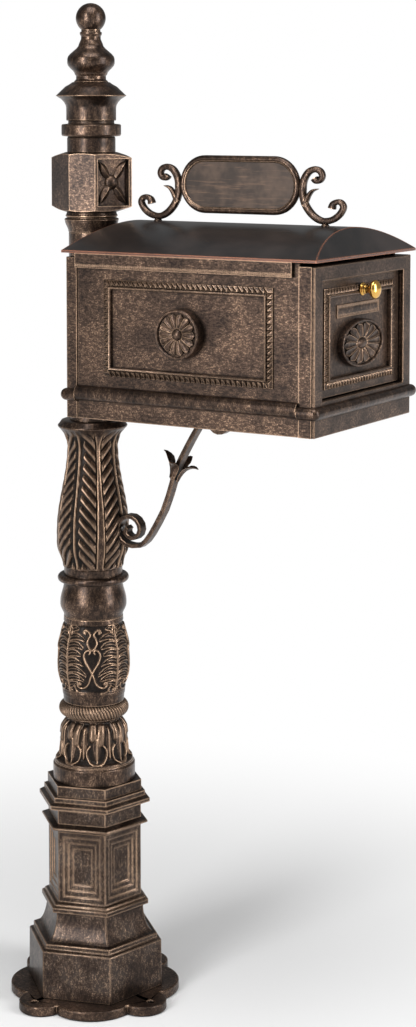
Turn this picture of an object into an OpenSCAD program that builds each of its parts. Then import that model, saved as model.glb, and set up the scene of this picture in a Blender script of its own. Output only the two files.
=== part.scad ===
// Pedestal mailbox: one cast box with a drop-down door, carried by an ornate stacked post.
// Millimetres, +Z up. The origin is on the post's axis, on the underside of the base plate.
// The door faces -Y. Stacked castings are clamped by one tie rod through the post.

/* [Base] */
// Thickness of the base plate
plate_t = 18; // [12:1:30]
// How far the plain lobes of the base plate reach past the plinth's corners
plain_lobe_gap = 26; // [20:1:40]
// How far the anchor holes lie outside the plinth's corners
anchor_gap = 21; // [16:1:30]
// How far the drilled lobes reach past the centres of their anchor holes
anchor_edge = 21; // [16:1:30]
// Diameter of an anchor hole
anchor_hole_d = 11; // [8:0.5:14]
// Turn of the base castings about the post's axis, in degrees
base_yaw = -13.5; // [-30:0.5:30]

/* [Pedestal] */
// Corner radius of the hexagonal plinth
plinth_r = 128; // [120:1:136]
// Height of the plinth's straight faces
plinth_h = 86; // [60:1:120]
// Height of the plinth's hollow moulding
cove_h = 53; // [35:1:80]
// Corner radius of the band above the hollow moulding
band_r = 102.5; // [98:0.5:110]
// Corner radius of the hexagonal die
die_r = 88.5; // [86:0.5:94]
// Height of the die's panelled faces
die_h = 131; // [100:1:160]
// Corner radius of the cornice
cornice_r = 105.5; // [98:0.5:115]
// Height of the cornice block, from the die to the drum
cornice_h = 70; // [60:1:90]
// Wall of the pedestal castings
pedestal_wall = 11; // [9:0.5:14]

/* [Column] */
// Wall of the post at its smooth neck
post_wall = 8; // [6:0.5:12]
// Radius of the drum collar
drum_r = 74.5; // [70:0.5:80]
// Height of the drum collar
drum_h = 33; // [24:1:44]
// Height of the acanthus band
acanthus_h = 82; // [60:1:100]
// Thickness of the rope around the column
rope_d = 28; // [22:1:32]
// Height of the palmette section
palmette_h = 156; // [120:1:190]
// Height of the bell collar
bell_h = 63; // [45:1:80]
// Thickness of the plain ring
ring_d = 14; // [10:1:18]
// Height of the feather section
feather_h = 280; // [230:1:330]
// Radius of the smooth neck behind the box
neck_r = 41; // [39:0.5:45]
// Height of the smooth neck behind the box
neck_h = 338.5; // [330:0.5:420]

/* [Block and finial] */
// Width of the block over its flat faces
block_w = 107; // [96:1:114]
// Width of each face of the block beside its cut corner
block_face_w = 72.5; // [64:0.5:80]
// Height of the block
block_h = 106; // [92:1:124]
// Turn of the block about the post's axis, in degrees
block_yaw = -30; // [-45:0.5:45]
// Radius of the ring above the block
spool_ring_r = 53; // [50:0.5:58]
// Radius of the sharp rim of the finial's cup
cup_r = 63; // [57:0.5:70]
// Largest radius of the finial's onion
onion_r = 42; // [36:0.5:48]
// Radius of the finial's ball
ball_r = 26.5; // [22:0.5:32]
// Radius of the tie rod
rod_r = 6; // [5:0.5:8]

/* [Box] */
// Width of the box over its corner posts
box_w = 350; // [300:1:400]
// Length of the box, front to back
box_l = 481; // [440:1:560]
// Height of the front frame
box_h = 276; // [270:1:320]
// Gap between the post's axis and the back of the box
box_back_gap = 66; // [60:1:80]
// Height of the bottom of the box above the foot of the neck
box_lift = 31; // [26:1:60]
// Wall of the side, rear and floor panels
panel_t = 5; // [4:0.5:7]
// Depth of a corner post, front to back
post_l = 21.5; // [18:0.5:26]

/* [Door] */
// Width of the door opening
opening_w = 294; // [270:1:306]
// Height of the door opening
opening_h = 195; // [190:1:200]
// Height of the sill under the door opening
sill_h = 57; // [55:1:62]
// Thickness of the door
door_t = 12; // [10:0.5:14]
// How far the door's face lies behind the frame's face
door_recess = 10; // [9:0.5:12]
// Gap around the door
door_gap = 2; // [1.5:0.25:3]
// Diameter of the knob
knob_d = 28.6; // [24:0.2:34]

/* [Roof] */
// Overhang of the roof past the box
roof_overhang = 6; // [5:0.5:10]
// Rise of the barrel roof above its lip
roof_rise = 44; // [36:1:60]
// Slope of the roof's ends: inset for each millimetre of rise
end_slope = 0.72; // [0.4:0.02:0.9]
// Wall of the roof
roof_t = 4; // [3:0.5:6]

/* [Plaque] */
// Length of the address plaque
plaque_l = 236; // [200:1:260]
// Height of the address plaque
plaque_h = 100; // [86:1:104]
// Thickness of the plaque's rim
plaque_t = 14; // [10:1:18]
// Gap between the roof's ridge and the plaque
plaque_gap = 16; // [12:1:24]

/* [Fit] */
// Radial clearance of a bore on its pin, screw or rod
fit = 0.05; // [0.02:0.01:0.1]
// Gap between curved faces that lie against each other
curve_gap = 0.3; // [0.2:0.05:0.5]

/* [Hidden] */
$fn = 64;
eps = 0.5;
face_of_hex = cos(30);

// What follows from the post's and the plinth's sizes.
post_bore_r = neck_r - post_wall;
anchor_circle_r = plinth_r + anchor_gap;
bolt_lobe_reach = anchor_circle_r + anchor_edge;
plain_lobe_reach = plinth_r + plain_lobe_gap;

// Radii of the column's castings at their feet, bellies and heads.
rope_core_r = 50;
palmette_foot_r = 55.5;
palmette_r = 66;
palmette_head_r = 54.5;
bell_end_r = 53;
bell_r = 60;
feather_foot_r = 53;
feather_r = 66;
feather_waist_r = 46;
feather_rim_r = 60;

// Heights of the stacked castings, from the ground up.
cove_z = plate_t + plinth_h + 12;
die_z = cove_z + cove_h;
die_foot = 17;
die_face_z = die_z + die_foot;
belt_h = 13;
cornice_z = die_face_z + die_h + belt_h;
drum_z = cornice_z + cornice_h;
acanthus_z = drum_z + drum_h;
rope_z = acanthus_z + acanthus_h;
palmette_z = rope_z + rope_d;
bell_z = palmette_z + palmette_h;
ring_z = bell_z + bell_h;
feather_z = ring_z + ring_d;
neck_z = feather_z + feather_h;
neck_ring_z = neck_z + neck_h;
neck_ring_h = 36;
block_z = neck_ring_z + neck_ring_h;
spool_z = block_z + block_h;
spool_h = 56;
cup_z = spool_z + spool_h;
cup_h = 68;
onion_z = cup_z + cup_h;
onion_h = 89;
ball_z = onion_z + onion_h;
ball_neck_h = 5;
ball_sink = 7.5;

// The box: its faces and levels.
box_z = neck_z + box_lift;
back_y = -box_back_gap;
front_y = back_y - box_l;
half_w = box_w / 2;
post_w = 12;
side_x = half_w - 2;
inner_x = side_x - panel_t;
frame_top = box_z + box_h;
roof_gap = 7;
roof_z = frame_top + roof_gap;
floor_z = box_z + 19;
floor_t = panel_t + 1;
trim_t = 5.5;
frame_t = 15.5;
side_front_y = front_y + trim_t + post_l + 2;
side_back_y = back_y - post_l;
opening_z = box_z + sill_h;
opening_top = opening_z + opening_h;

// The door and its hinge line.
door_y = front_y + door_recess;
door_w = opening_w - 2 * door_gap;
door_z = opening_z + 3;
door_h = opening_h - 3 - door_gap;
hinge_y = door_y + 5;
hinge_z = door_z + 11;
pin_r = 2.5;
pin_in_door = 12;
pin_in_frame = 10;
door_leaf_margin = 19;
door_leaf_ends = 13;
door_leaf_w = door_w - 2 * door_leaf_margin;
door_leaf_h = door_h - 2 * door_leaf_ends;
door_leaf_z = door_z + door_leaf_ends;
leaf_member = 16;
door_leaf_proud = 6;
inner_recess = 3;
inner_face_y = door_y + inner_recess;
knob_z = door_leaf_z + door_leaf_h - leaf_member / 2;

// Inside the door's leaf frame: the medallion below, the blank tablet above.
inner_w = door_leaf_w - 2 * leaf_member;
inner_h = door_leaf_h - 2 * leaf_member;
inner_z = door_leaf_z + leaf_member;
tablet_h = 22;
tablet_head_gap = 14;
tablet_side_gap = 34;
medallion_foot_gap = 10;
medallion_head_gap = 6;
medallion_side_gap = 36;
door_medallion_a = inner_w / 2 - medallion_side_gap;
door_medallion_b = (inner_h - tablet_h - tablet_head_gap - medallion_head_gap - medallion_foot_gap) / 2;
door_medallion_t = 12;
medallion_z = inner_z + medallion_foot_gap + door_medallion_b;
tablet_z = medallion_z + door_medallion_b + medallion_head_gap;

// Side decoration.
corner_torus_r = 10.5;
corner_torus_z = opening_z - 17;
side_torus_r = 13;
torus_z = corner_torus_z + 4;
fascia_h = 24.5;
side_leaf_rear_gap = 55.5;
side_leaf_front_gap = 47;
side_leaf_foot_gap = 19;
side_leaf_head_gap = 18.5;
leaf_y0 = side_back_y - side_leaf_rear_gap;
leaf_y1 = side_front_y + side_leaf_front_gap;
side_leaf_proud = 8;
side_leaf_z0 = torus_z + side_torus_r + side_leaf_foot_gap;
side_leaf_z1 = roof_z - fascia_h - side_leaf_head_gap;
side_medallion_gap = 24;
side_medallion_r = (side_leaf_z1 - side_leaf_z0) / 2 - leaf_member - side_medallion_gap;
side_medallion_t = 22;
side_medallion_y = back_y - box_l / 2 + 8;
side_medallion_z = (side_leaf_z0 + side_leaf_z1) / 2 - 2;
fascia_t = half_w + roof_overhang - side_x;

// The roof.
roof_half = half_w + roof_overhang;
roof_lip = 4;
roof_front = front_y - roof_overhang;
roof_back = back_y + roof_overhang;
ridge_z = roof_z + roof_lip + roof_rise;
flange_w = 14;
flange_t = 6;
roof_screw_x = inner_x - flange_w / 2;
roof_screw_r = 2.5;
roof_screw_ys = [roof_front + 90, (roof_front + roof_back) / 2, roof_back - 90];

// The plaque on the ridge.
plaque_y = (roof_front + roof_back) / 2;
plaque_z = ridge_z + plaque_gap + plaque_h / 2;
scroll_w = 12;
scroll_band = 9.5;
plaque_screw_r = 2;

// The scroll bracket under the box.
strap_t = 8;
strap_w = 20;

// The flag on the right side.
flag_x = roof_half + 2;
flag_y = front_y + 52;
flag_z = frame_top - 28;
flag_t = 3.5;
flag_pin_r = 4;

// Points of an arc, from one angle to another.
function arc(cx, cy, r, a0, a1, n = 8) =
  [for (i = [0:n]) [cx + r * cos(a0 + (a1 - a0) * i / n), cy + r * sin(a0 + (a1 - a0) * i / n)]];

// Points of a hollow moulding that leaves the bottom flat and ends upright.
function cove(r0, r1, z0, z1, n = 8) =
  [for (i = [0:n]) [r1 + (r0 - r1) * (1 - sin(90 * i / n)), z0 + (z1 - z0) * (1 - cos(90 * i / n))]];

// Points between two radii that bulge or waist smoothly.
function swell(r0, r1, z0, z1, n = 6) =
  [for (i = [0:n]) [r0 + (r1 - r0) * (1 - cos(180 * i / n)) / 2, z0 + (z1 - z0) * i / n]];

// A hexagonal casting: the same outline [corner radius, height] on each pair of faces.
module hexagonal(points) {
  outline = [for (p = points) [p[0] * face_of_hex, p[1]]];
  mirrored = [for (i = [len(outline) - 1:-1:0]) [-outline[i][0], outline[i][1]]];
  span = 2.2 * max([for (p = points) p[0]]);
  rotate([0, 0, base_yaw + 30])
    intersection() {
      for_face(0, span) polygon(concat(outline, mirrored));
      for_face(60, span) polygon(concat(outline, mirrored));
      for_face(120, span) polygon(concat(outline, mirrored));
    }
}

module for_face(turn, span) {
  rotate([0, 0, turn])
    rotate([90, 0, 0])
      translate([0, 0, -span / 2])
        linear_extrude(span)
          children();
}

// A hexagonal hole through the castings.
module hex_hole(corner_r, z0, z1) {
  rotate([0, 0, base_yaw])
    translate([0, 0, z0])
      cylinder(r = corner_r, h = z1 - z0, $fn = 6);
}

// A turned casting with the post's bore.
module turned(points, z0, z1, bore = post_bore_r) {
  difference() {
    rotate_extrude()
      polygon(concat([[0, points[0][1]]], points, [[0, points[len(points) - 1][1]]]));
    translate([0, 0, z0 - eps])
      cylinder(r = bore, h = z1 - z0 + 2 * eps);
  }
}

// A box between two corners.
module block(a, b) {
  translate([min(a[0], b[0]), min(a[1], b[1]), min(a[2], b[2])])
    cube([abs(b[0] - a[0]), abs(b[1] - a[1]), abs(b[2] - a[2])]);
}

// A cylinder between two heights.
module upright(r, z0, z1) {
  translate([0, 0, z0])
    cylinder(r = r, h = z1 - z0);
}

// A cylinder along Y between two places.
module along_y(r, x, z, y0, y1) {
  translate([x, max(y0, y1), z])
    rotate([90, 0, 0])
      cylinder(r = r, h = abs(y1 - y0));
}

// A cylinder along X between two places.
module along_x(r, y, z, x0, x1) {
  translate([min(x0, x1), y, z])
    rotate([0, 90, 0])
      cylinder(r = r, h = abs(x1 - x0));
}

// The same thing on the left and on the right.
module both_sides() {
  children();
  mirror([1, 0, 0])
    children();
}

/* Post */
pedestal_cavity_r = die_r - (pedestal_wall + 6) / face_of_hex;

module base_plate() {
  bolt_lobe_r = 42;
  plain_lobe_r = 80;
  boss_r = 26;
  boss_h = 14;
  color("#4a3a30")
    difference() {
      union() {
        intersection() {
          block([-bolt_lobe_reach, -bolt_lobe_reach, 0], [bolt_lobe_reach, bolt_lobe_reach, plate_t]);
          union()
            for (i = [0:7]) {
              drilled = i % 2 == 0;
              lobe_r = drilled ? bolt_lobe_r : plain_lobe_r;
              reach = drilled ? bolt_lobe_reach : plain_lobe_reach;
              rotate([0, 0, base_yaw + 45 * i])
                translate([reach - lobe_r, 0, -1])
                  cylinder(r = lobe_r, h = plate_t + 2);
            }
        }
        upright(boss_r, 0, plate_t + boss_h);
      }
      for (i = [0:3])
        rotate([0, 0, base_yaw + 90 * i])
          translate([anchor_circle_r, 0, -eps])
            cylinder(d = anchor_hole_d, h = plate_t + 2 * eps);
      upright(rod_r + fit, -eps, plate_t + boss_h + eps);
      upright(18, -eps, 14);
    }
}

module plinth() {
  step_r = plinth_r - 9;
  color("#4a3a30")
    difference() {
      hexagonal(concat(
        [[plinth_r, plate_t], [plinth_r - 1, plate_t + plinth_h]],
        [[step_r, plate_t + plinth_h + 3], [step_r, cove_z]],
        cove(step_r - 3, band_r - 10, cove_z + 0.1, die_z, 10)
      ));
      hex_hole(pedestal_cavity_r, plate_t - eps, die_z + eps);
    }
}

module die() {
  belt_z = die_face_z + die_h;
  // Margins of each nested panel, across and up the face, and its depth.
  panels = [[19.5, 21, 2], [36.5, 43, 4], [52.5, 63, 6]];
  color("#54402f")
    difference() {
      hexagonal([
        [band_r, die_z], [band_r, die_z + 9], [die_r + 8, die_z + 10.5],
        [die_r + 8, die_z + 14], [die_r, die_face_z],
        [die_r, belt_z], [band_r - 1, belt_z + 4.5], [band_r - 1, belt_z + 8], [die_r, cornice_z],
      ]);
      hex_hole(pedestal_cavity_r, die_z - eps, cornice_z + eps);
      for (i = [0:5])
        rotate([0, 0, base_yaw + 30 + 60 * i])
          for (panel = panels)
            translate([die_r * face_of_hex - panel[2], (panel[0] - die_r) / 2, die_face_z + panel[1] / 2])
              cube([panel[2] + 1, die_r - panel[0], die_h - panel[1]]);
    }
}

module cornice() {
  top_r = die_r + 1;
  lip_z = cornice_z + 30;
  color("#54402f")
    difference() {
      hexagonal([
        [die_r, cornice_z], [die_r, lip_z - 5], [die_r + 8, lip_z - 3], [die_r + 8, lip_z],
        [cornice_r, lip_z + 0.1], [cornice_r, lip_z + 6.5], [top_r + 7, lip_z + 11.5],
        [top_r + 7, lip_z + 20], [top_r, lip_z + 20.5], [top_r, drum_z],
      ]);
      hex_hole(pedestal_cavity_r, cornice_z - eps, drum_z - 12);
      upright(post_bore_r, cornice_z, drum_z + eps);
    }
}

module drum_collar() {
  color("#54402f")
    turned([
      [drum_r, drum_z], [drum_r, drum_z + drum_h - 5], [drum_r - 3, drum_z + drum_h - 3],
      [drum_r - 3, drum_z + drum_h],
    ], drum_z, acanthus_z);
}

module acanthus_band() {
  color("#5a4433")
    turned(concat(
      [[drum_r - 4, acanthus_z], [drum_r - 4, acanthus_z + 6]],
      swell(drum_r - 9, drum_r - 12, acanthus_z + 12, acanthus_z + acanthus_h * 0.6),
      swell(drum_r - 13, 51, acanthus_z + acanthus_h * 0.72, rope_z)
    ), acanthus_z, rope_z);
}

module rope_ring() {
  color("#5a4433")
    turned(concat(
      [[rope_core_r, rope_z]],
      arc(rope_core_r - 0.5, rope_z + rope_d / 2, rope_d / 2, -88, 88, 12),
      [[rope_core_r, palmette_z]]
    ), rope_z, palmette_z);
}

module palmette_column() {
  color("#5a4433")
    turned(concat(
      [[palmette_foot_r, palmette_z], [palmette_foot_r + 1, palmette_z + 12]],
      swell(palmette_foot_r + 2, palmette_r, palmette_z + 14, palmette_z + palmette_h * 0.4),
      swell(palmette_r, palmette_head_r, palmette_z + palmette_h * 0.6, bell_z)
    ), palmette_z, bell_z);
}

module bell_collar() {
  color("#54402f")
    turned(concat(
      swell(bell_end_r, bell_r, bell_z, bell_z + bell_h * 0.34),
      swell(bell_r, bell_end_r, bell_z + bell_h * 0.42, ring_z)
    ), bell_z, ring_z);
}

module plain_ring() {
  core_r = bell_r - 2.5;
  color("#6a5038")
    turned(concat(
      [[core_r, ring_z]],
      arc(core_r, ring_z + ring_d / 2, ring_d / 2, -88, 88, 10),
      [[core_r, feather_z]]
    ), ring_z, feather_z);
}

module feather_column() {
  rim_z = neck_z - 12;
  color("#5a4433")
    difference() {
      turned(concat(
        [[feather_foot_r, feather_z], [feather_foot_r, feather_z + 12]],
        swell(feather_foot_r + 2, feather_r, feather_z + 15, belly_z - 20),
        swell(feather_r, feather_waist_r, belly_z, waist_z, 10),
        [[feather_waist_r + 1, rim_z - 26], [feather_waist_r + 6, rim_z - 12], [feather_rim_r - 1, rim_z - 3]],
        arc(feather_rim_r, rim_z + 2, 3, -60, 60, 4),
        [[feather_rim_r - 4, neck_z]]
      ), feather_z, neck_z);
      along_y(bracket_screw_r + fit, 0, curl_z, -80, 0);
      block(
        [-strap_w / 2 - curve_gap, -80, curl_z - curl_reach - 2],
        [strap_w / 2 + curve_gap, curl_seat - post_at_curl, curl_z + curl_reach + 2]
      );
    }
}

module neck_post() {
  cross_r = 4 + fit;
  color("#54402f")
    difference() {
      turned([[neck_r, neck_z], [neck_r, neck_ring_z]], neck_z, neck_ring_z);
      for (z = saddle_zs)
        along_y(cross_r, 0, z, -neck_r - 4, 0);
    }
}

module neck_ring() {
  color("#54402f")
    turned(concat(
      swell(neck_r + 0.5, neck_r + 7, neck_ring_z, neck_ring_z + 21, 5),
      [[neck_r + 8, neck_ring_z + 22.5], [neck_r + 6.5, neck_ring_z + 24], [neck_r + 3, neck_ring_z + 25.5]],
      arc(neck_r + 3, neck_ring_z + 29, 2.5, -60, 60, 4),
      [[neck_r + 3, block_z]]
    ), neck_ring_z, block_z);
}

panel_w = block_face_w - 11.5;
panel_h = block_h - 23;
panel_d = 8;
panel_shift = (block_w - block_face_w) / 2;

module rosette_block() {
  top_web = 12;
  face = block_w / 2;
  cut_reach = block_face_w / sqrt(2);
  cone_r = 46;
  cone_slope = 0.33;
  outer_r = face * 1.5;
  cone_rise = (outer_r - cone_r) * cone_slope;
  color("#54402f")
    rotate([0, 0, block_yaw])
      difference() {
        intersection() {
          block([-face, -face, block_z], [face, face, spool_z]);
          rotate([0, 0, 45])
            block([-cut_reach, -2 * face, block_z - 1], [cut_reach, 2 * face, spool_z + 1]);
          rotate_extrude()
            polygon([
              [0, block_z - cone_slope], [cone_r - 1, block_z - cone_slope],
              [outer_r, block_z + cone_rise], [outer_r, spool_z - cone_rise],
              [cone_r - 1, spool_z + cone_slope], [0, spool_z + cone_slope],
            ]);
        }
        for (turn = [0, 180])
          rotate([0, 0, turn])
            translate([panel_shift - panel_w / 2, -face - 1, block_z + (block_h - panel_h) / 2])
              cube([panel_w, panel_d + 1, panel_h]);
        upright(post_bore_r, block_z - eps, spool_z - top_web);
        upright(rod_r + fit, block_z, spool_z + eps);
      }
}

module block_rosettes() {
  leaf_l = norm([panel_w, panel_h]) / 2 - 6;
  leaf_turn = atan2(panel_h, panel_w);
  depth_y = block_w / 2 - panel_d;
  color("#7a5a3c")
    for (side = [0, 180])
      rotate([0, 0, block_yaw + side])
        translate([panel_shift, -depth_y, block_z + block_h / 2])
          rotate([90, 0, 0]) {
            cylinder(r = 12, h = 7.5);
            for (turn = [leaf_turn, 180 - leaf_turn, 180 + leaf_turn, -leaf_turn])
              rotate([0, 0, turn])
                linear_extrude(5)
                  polygon([
                    [9, -3], [17, -6], [27, -7], [leaf_l - 8, -4], [leaf_l, 0],
                    [leaf_l - 8, 4], [27, 7], [17, 6], [9, 3],
                  ]);
          }
}

module spool_ring() {
  ring_bottom = spool_z + 28.5;
  ring_top = ring_bottom + 21;
  r = neck_r + 2;
  color("#54402f")
    turned([
      [r, spool_z], [r, ring_bottom - 3], [r - 2, ring_bottom - 1], [spool_ring_r - 1.5, ring_bottom],
      [spool_ring_r, ring_bottom + 2], [spool_ring_r, ring_top - 2], [spool_ring_r - 1.5, ring_top],
      [r - 2, ring_top + 1], [r - 2, cup_z],
    ], spool_z, cup_z);
}

module finial_cup() {
  r = neck_r + 3.3;
  rim_z = cup_z + 44;
  color("#54402f")
    turned(concat(
      [[r, cup_z], [r, rim_z - 22], [r + 1, rim_z - 17], [r + 4, rim_z - 11.5], [r + 9, rim_z - 6]],
      [[cup_r - 1.5, rim_z - 1], [cup_r, rim_z], [cup_r - 3, rim_z + 2.5]],
      [[46, rim_z + 16], [38, rim_z + 20.5], [33, cup_z + cup_h]]
    ), cup_z, onion_z, rod_r + fit);
}

module finial_onion() {
  waist_r = 26.5;
  belly_z = onion_z + 37;
  color("#54402f")
    turned(concat(
      [[31, onion_z], [29.5, onion_z + 2], [waist_r, onion_z + 5], [waist_r, onion_z + 11]],
      swell(waist_r + 2, onion_r, onion_z + 13, belly_z - 4, 5),
      swell(onion_r, 21, belly_z + 4, onion_z + 68, 6),
      [[17.5, onion_z + 76], [17.5, onion_z + 81], [19.5, onion_z + 84], [19.5, onion_z + 88]],
      [[18, ball_z]]
    ), onion_z, ball_z, rod_r + fit);
}

module finial_ball() {
  centre_z = ball_z + ball_neck_h + ball_r - ball_sink;
  color("#54402f")
    difference() {
      union() {
        upright(17, ball_z, centre_z);
        translate([0, 0, centre_z])
          sphere(r = ball_r);
      }
      upright(rod_r + fit, ball_z - 20, rod_top + 1);
      upright(40, ball_z - 40, ball_z);
    }
}

rod_bottom = 3;
rod_top = ball_z + 16;

module tie_rod() {
  color("silver")
    upright(rod_r, rod_bottom, rod_top);
}

// A washer and a nut on the tie rod. The nut lies outside the washer.
module washer_and_nut(z, up) {
  washer_t = 2.5;
  nut_t = 7;
  difference() {
    translate([0, 0, up > 0 ? z : z - washer_t])
      cylinder(r = 13, h = washer_t);
    upright(rod_r + fit, z - 20, z + 20);
  }
  difference() {
    translate([0, 0, up > 0 ? z + washer_t : z - washer_t - nut_t])
      cylinder(r = 10.5, h = nut_t, $fn = 6);
    upright(rod_r + fit, z - 20, z + 20);
  }
}

module tie_rod_nuts() {
  color("silver") {
    washer_and_nut(14, -1);
    washer_and_nut(spool_z, 1);
  }
}

/* Box */
module box_floor() {
  color("#3a3330")
    difference() {
      union() {
        block([-inner_x, side_front_y, floor_z], [inner_x, side_back_y, floor_z + floor_t]);
        block([-half_w + post_w, side_back_y - 1, floor_z], [half_w - post_w, back_y - panel_t, floor_z + floor_t]);
      }
      for (y = bracket_screw_ys)
        translate([0, y, floor_z - eps])
          cylinder(r = bracket_screw_r + fit, h = floor_t + 2 * eps);
    }
}

module side_panel() {
  difference() {
    union() {
      block([-side_x, side_front_y, box_z], [-inner_x, side_back_y, roof_z]);
      block([-inner_x, side_front_y + 20, roof_z - flange_t], [-inner_x + flange_w, side_back_y - 20, roof_z]);
    }
    for (y = roof_screw_ys)
      translate([-roof_screw_x, y, roof_z - flange_t - eps])
        cylinder(r = roof_screw_r + fit, h = flange_t + 2 * eps);
  }
}

module left_side() {
  color("#5c4a3a")
    side_panel();
}

module right_side() {
  color("#5c4a3a")
    difference() {
      mirror([1, 0, 0])
        side_panel();
      along_x(flag_pin_r + fit, flag_y, flag_z, inner_x - eps, side_x + eps);
    }
}

module rear_panel() {
  color("#5c4a3a")
    difference() {
      block([-half_w + post_w, back_y - panel_t, box_z], [half_w - post_w, back_y, frame_top]);
      for (z = saddle_zs)
        along_y(4 + fit, 0, z, back_y - panel_t - eps, back_y + eps);
    }
}

module rear_posts() {
  color("#5c4a3a")
    both_sides()
      block([-half_w, side_back_y, box_z], [-half_w + post_w, back_y, frame_top]);
}

module door_opening(y0, y1) {
  block([-opening_w / 2, y0, opening_z], [opening_w / 2, y1, opening_top]);
}

module front_frame() {
  y0 = front_y + trim_t;
  y1 = y0 + frame_t;
  color("#5c4a3a")
    difference() {
      union() {
        block([-half_w, y0, box_z], [half_w, y1, frame_top]);
        both_sides()
          block([-half_w, y1 - eps, box_z], [-half_w + post_w, side_front_y, frame_top]);
      }
      door_opening(y0 - eps, y1 + eps);
      both_sides()
        along_x(pin_r + fit, hinge_y, hinge_z, opening_w / 2 - eps, opening_w / 2 + pin_in_frame);
    }
}

module front_trim() {
  inset = 1;
  color("#6a5642")
    difference() {
      block(
        [-half_w + inset, front_y, box_z], [half_w - inset, front_y + trim_t, frame_top]
      );
      door_opening(front_y - eps, front_y + trim_t + eps);
    }
}

module side_mouldings() {
  color("#6a5642")
    both_sides()
      difference() {
        along_y(side_torus_r, -side_x, torus_z, side_front_y, side_back_y);
        block([-side_x, side_front_y - 1, box_z], [0, side_back_y + 1, roof_z]);
      }
}

module corner_mouldings() {
  r = corner_torus_r;
  z = corner_torus_z;
  color("#6a5642") {
    difference() {
      union() {
        along_x(r, front_y, z, -half_w, half_w);
        both_sides() {
          along_y(r, -half_w, z, front_y, side_front_y);
          translate([-half_w, front_y, z])
            sphere(r = r);
        }
      }
      block([-half_w, front_y, box_z], [half_w, back_y, roof_z]);
    }
    both_sides()
      difference() {
        union() {
          along_y(r, -half_w, z, side_back_y, back_y);
          translate([-half_w, back_y, z])
            sphere(r = r);
          along_x(r, back_y, z, -half_w, -half_w + post_w);
        }
        block([-half_w, front_y, box_z], [half_w, back_y, roof_z]);
      }
  }
}

// A rectangular frame in the X-Y plane.
module frame_2d(w, h, member) {
  difference() {
    square([w, h], center = true);
    square([w - 2 * member, h - 2 * member], center = true);
  }
}

module leaf_frames() {
  w = leaf_y0 - leaf_y1;
  h = side_leaf_z1 - side_leaf_z0;
  color("#7a6248")
    both_sides()
      translate([-side_x, (leaf_y0 + leaf_y1) / 2, (side_leaf_z0 + side_leaf_z1) / 2])
        rotate([90, 0, -90])
          linear_extrude(side_leaf_proud)
            frame_2d(w, h, leaf_member);
}

// A round boss with a raised rim and a centre button, standing on the X-Y plane.
module medallion(r, t) {
  difference() {
    cylinder(r = r, h = t);
    translate([0, 0, t - 4])
      difference() {
        cylinder(r = r - 5, h = 5);
        translate([0, 0, -eps])
          cylinder(r = 8, h = 3.5 + eps);
      }
  }
}

module side_medallions() {
  color("#8a6f50")
    both_sides()
      translate([-side_x, side_medallion_y, side_medallion_z])
        rotate([0, -90, 0])
          medallion(side_medallion_r, side_medallion_t);
}

// The solid under the roof's skin, smaller by the given wall.
module roof_solid(wall) {
  w = roof_half - wall;
  rise = roof_rise;
  radius = (roof_half * roof_half + rise * rise) / (2 * rise);
  centre_z = ridge_z - radius;
  end_cut = wall * 1.2;
  low = roof_z - (wall > 0 ? eps : 0);
  top = ridge_z + 20;
  intersection() {
    along_y_profile(roof_front - 1, roof_back + 1)
      intersection() {
        translate([0, centre_z])
          circle(r = radius - wall, $fn = 128);
        translate([-w, low])
          square([2 * w, top - low]);
      }
    translate([-roof_half - 1, 0, 0])
      rotate([90, 0, 90])
        linear_extrude(2 * roof_half + 2)
          polygon([
            [roof_front + end_cut, low], [roof_front + end_cut, roof_z + roof_lip],
            [roof_front + end_cut + end_slope * (top - roof_z - roof_lip), top],
            [roof_back - end_cut - end_slope * (top - roof_z - roof_lip), top],
            [roof_back - end_cut, roof_z + roof_lip], [roof_back - end_cut, low],
          ]);
  }
}

module along_y_profile(y0, y1) {
  translate([0, y1, 0])
    rotate([90, 0, 0])
      linear_extrude(y1 - y0)
        children();
}

module roof_shell() {
  color("#3b3836")
    difference() {
      union() {
        difference() {
          roof_solid(0);
          roof_solid(roof_t);
        }
        intersection() {
          roof_solid(0);
          both_sides()
            for (y = roof_screw_ys)
              translate([-roof_screw_x, y, roof_z])
                cylinder(r = 6, h = 40);
        }
      }
      both_sides()
        for (y = roof_screw_ys)
          translate([-roof_screw_x, y, roof_z - eps])
            cylinder(r = roof_screw_r + fit, h = 5);
      for (y = plaque_screw_ys)
        translate([0, y, ridge_z - 2 * roof_t])
          cylinder(r = plaque_screw_r + fit, h = 4 * roof_t);
    }
}

module roof_fascias() {
  color("#5c4a3a")
    both_sides()
      block([-side_x - fascia_t, side_front_y + 10, roof_z - fascia_h], [-side_x, side_back_y, roof_z]);
}

module roof_screws() {
  color("silver")
    both_sides()
      for (y = roof_screw_ys)
        translate([-roof_screw_x, y, roof_z - flange_t]) {
          cylinder(r = roof_screw_r, h = flange_t + 4);
          translate([0, 0, -3])
            cylinder(r = 4.5, h = 3);
        }
}

/* Door */
module door_panel() {
  w = door_w / 2;
  color("#4c4038")
    difference() {
      block([-w, door_y, door_z], [w, door_y + door_t, door_z + door_h]);
      block(
        [-door_leaf_w / 2 + leaf_member, door_y - eps, door_leaf_z + leaf_member],
        [door_leaf_w / 2 - leaf_member, inner_face_y, door_leaf_z + door_leaf_h - leaf_member]
      );
      both_sides()
        along_x(pin_r + fit, hinge_y, hinge_z, w - pin_in_door, w + eps);
      along_y(2.5 + fit, 0, knob_z, door_y - eps, door_y + door_t + eps);
    }
}

module door_leaf_frame() {
  color("#7a6248")
    difference() {
      translate([0, door_y, door_leaf_z + door_leaf_h / 2])
        rotate([90, 0, 0])
          linear_extrude(door_leaf_proud)
            frame_2d(door_leaf_w, door_leaf_h, leaf_member);
      along_y(2.5 + fit, 0, knob_z, door_y - door_leaf_proud - eps, door_y + eps);
    }
}

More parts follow.
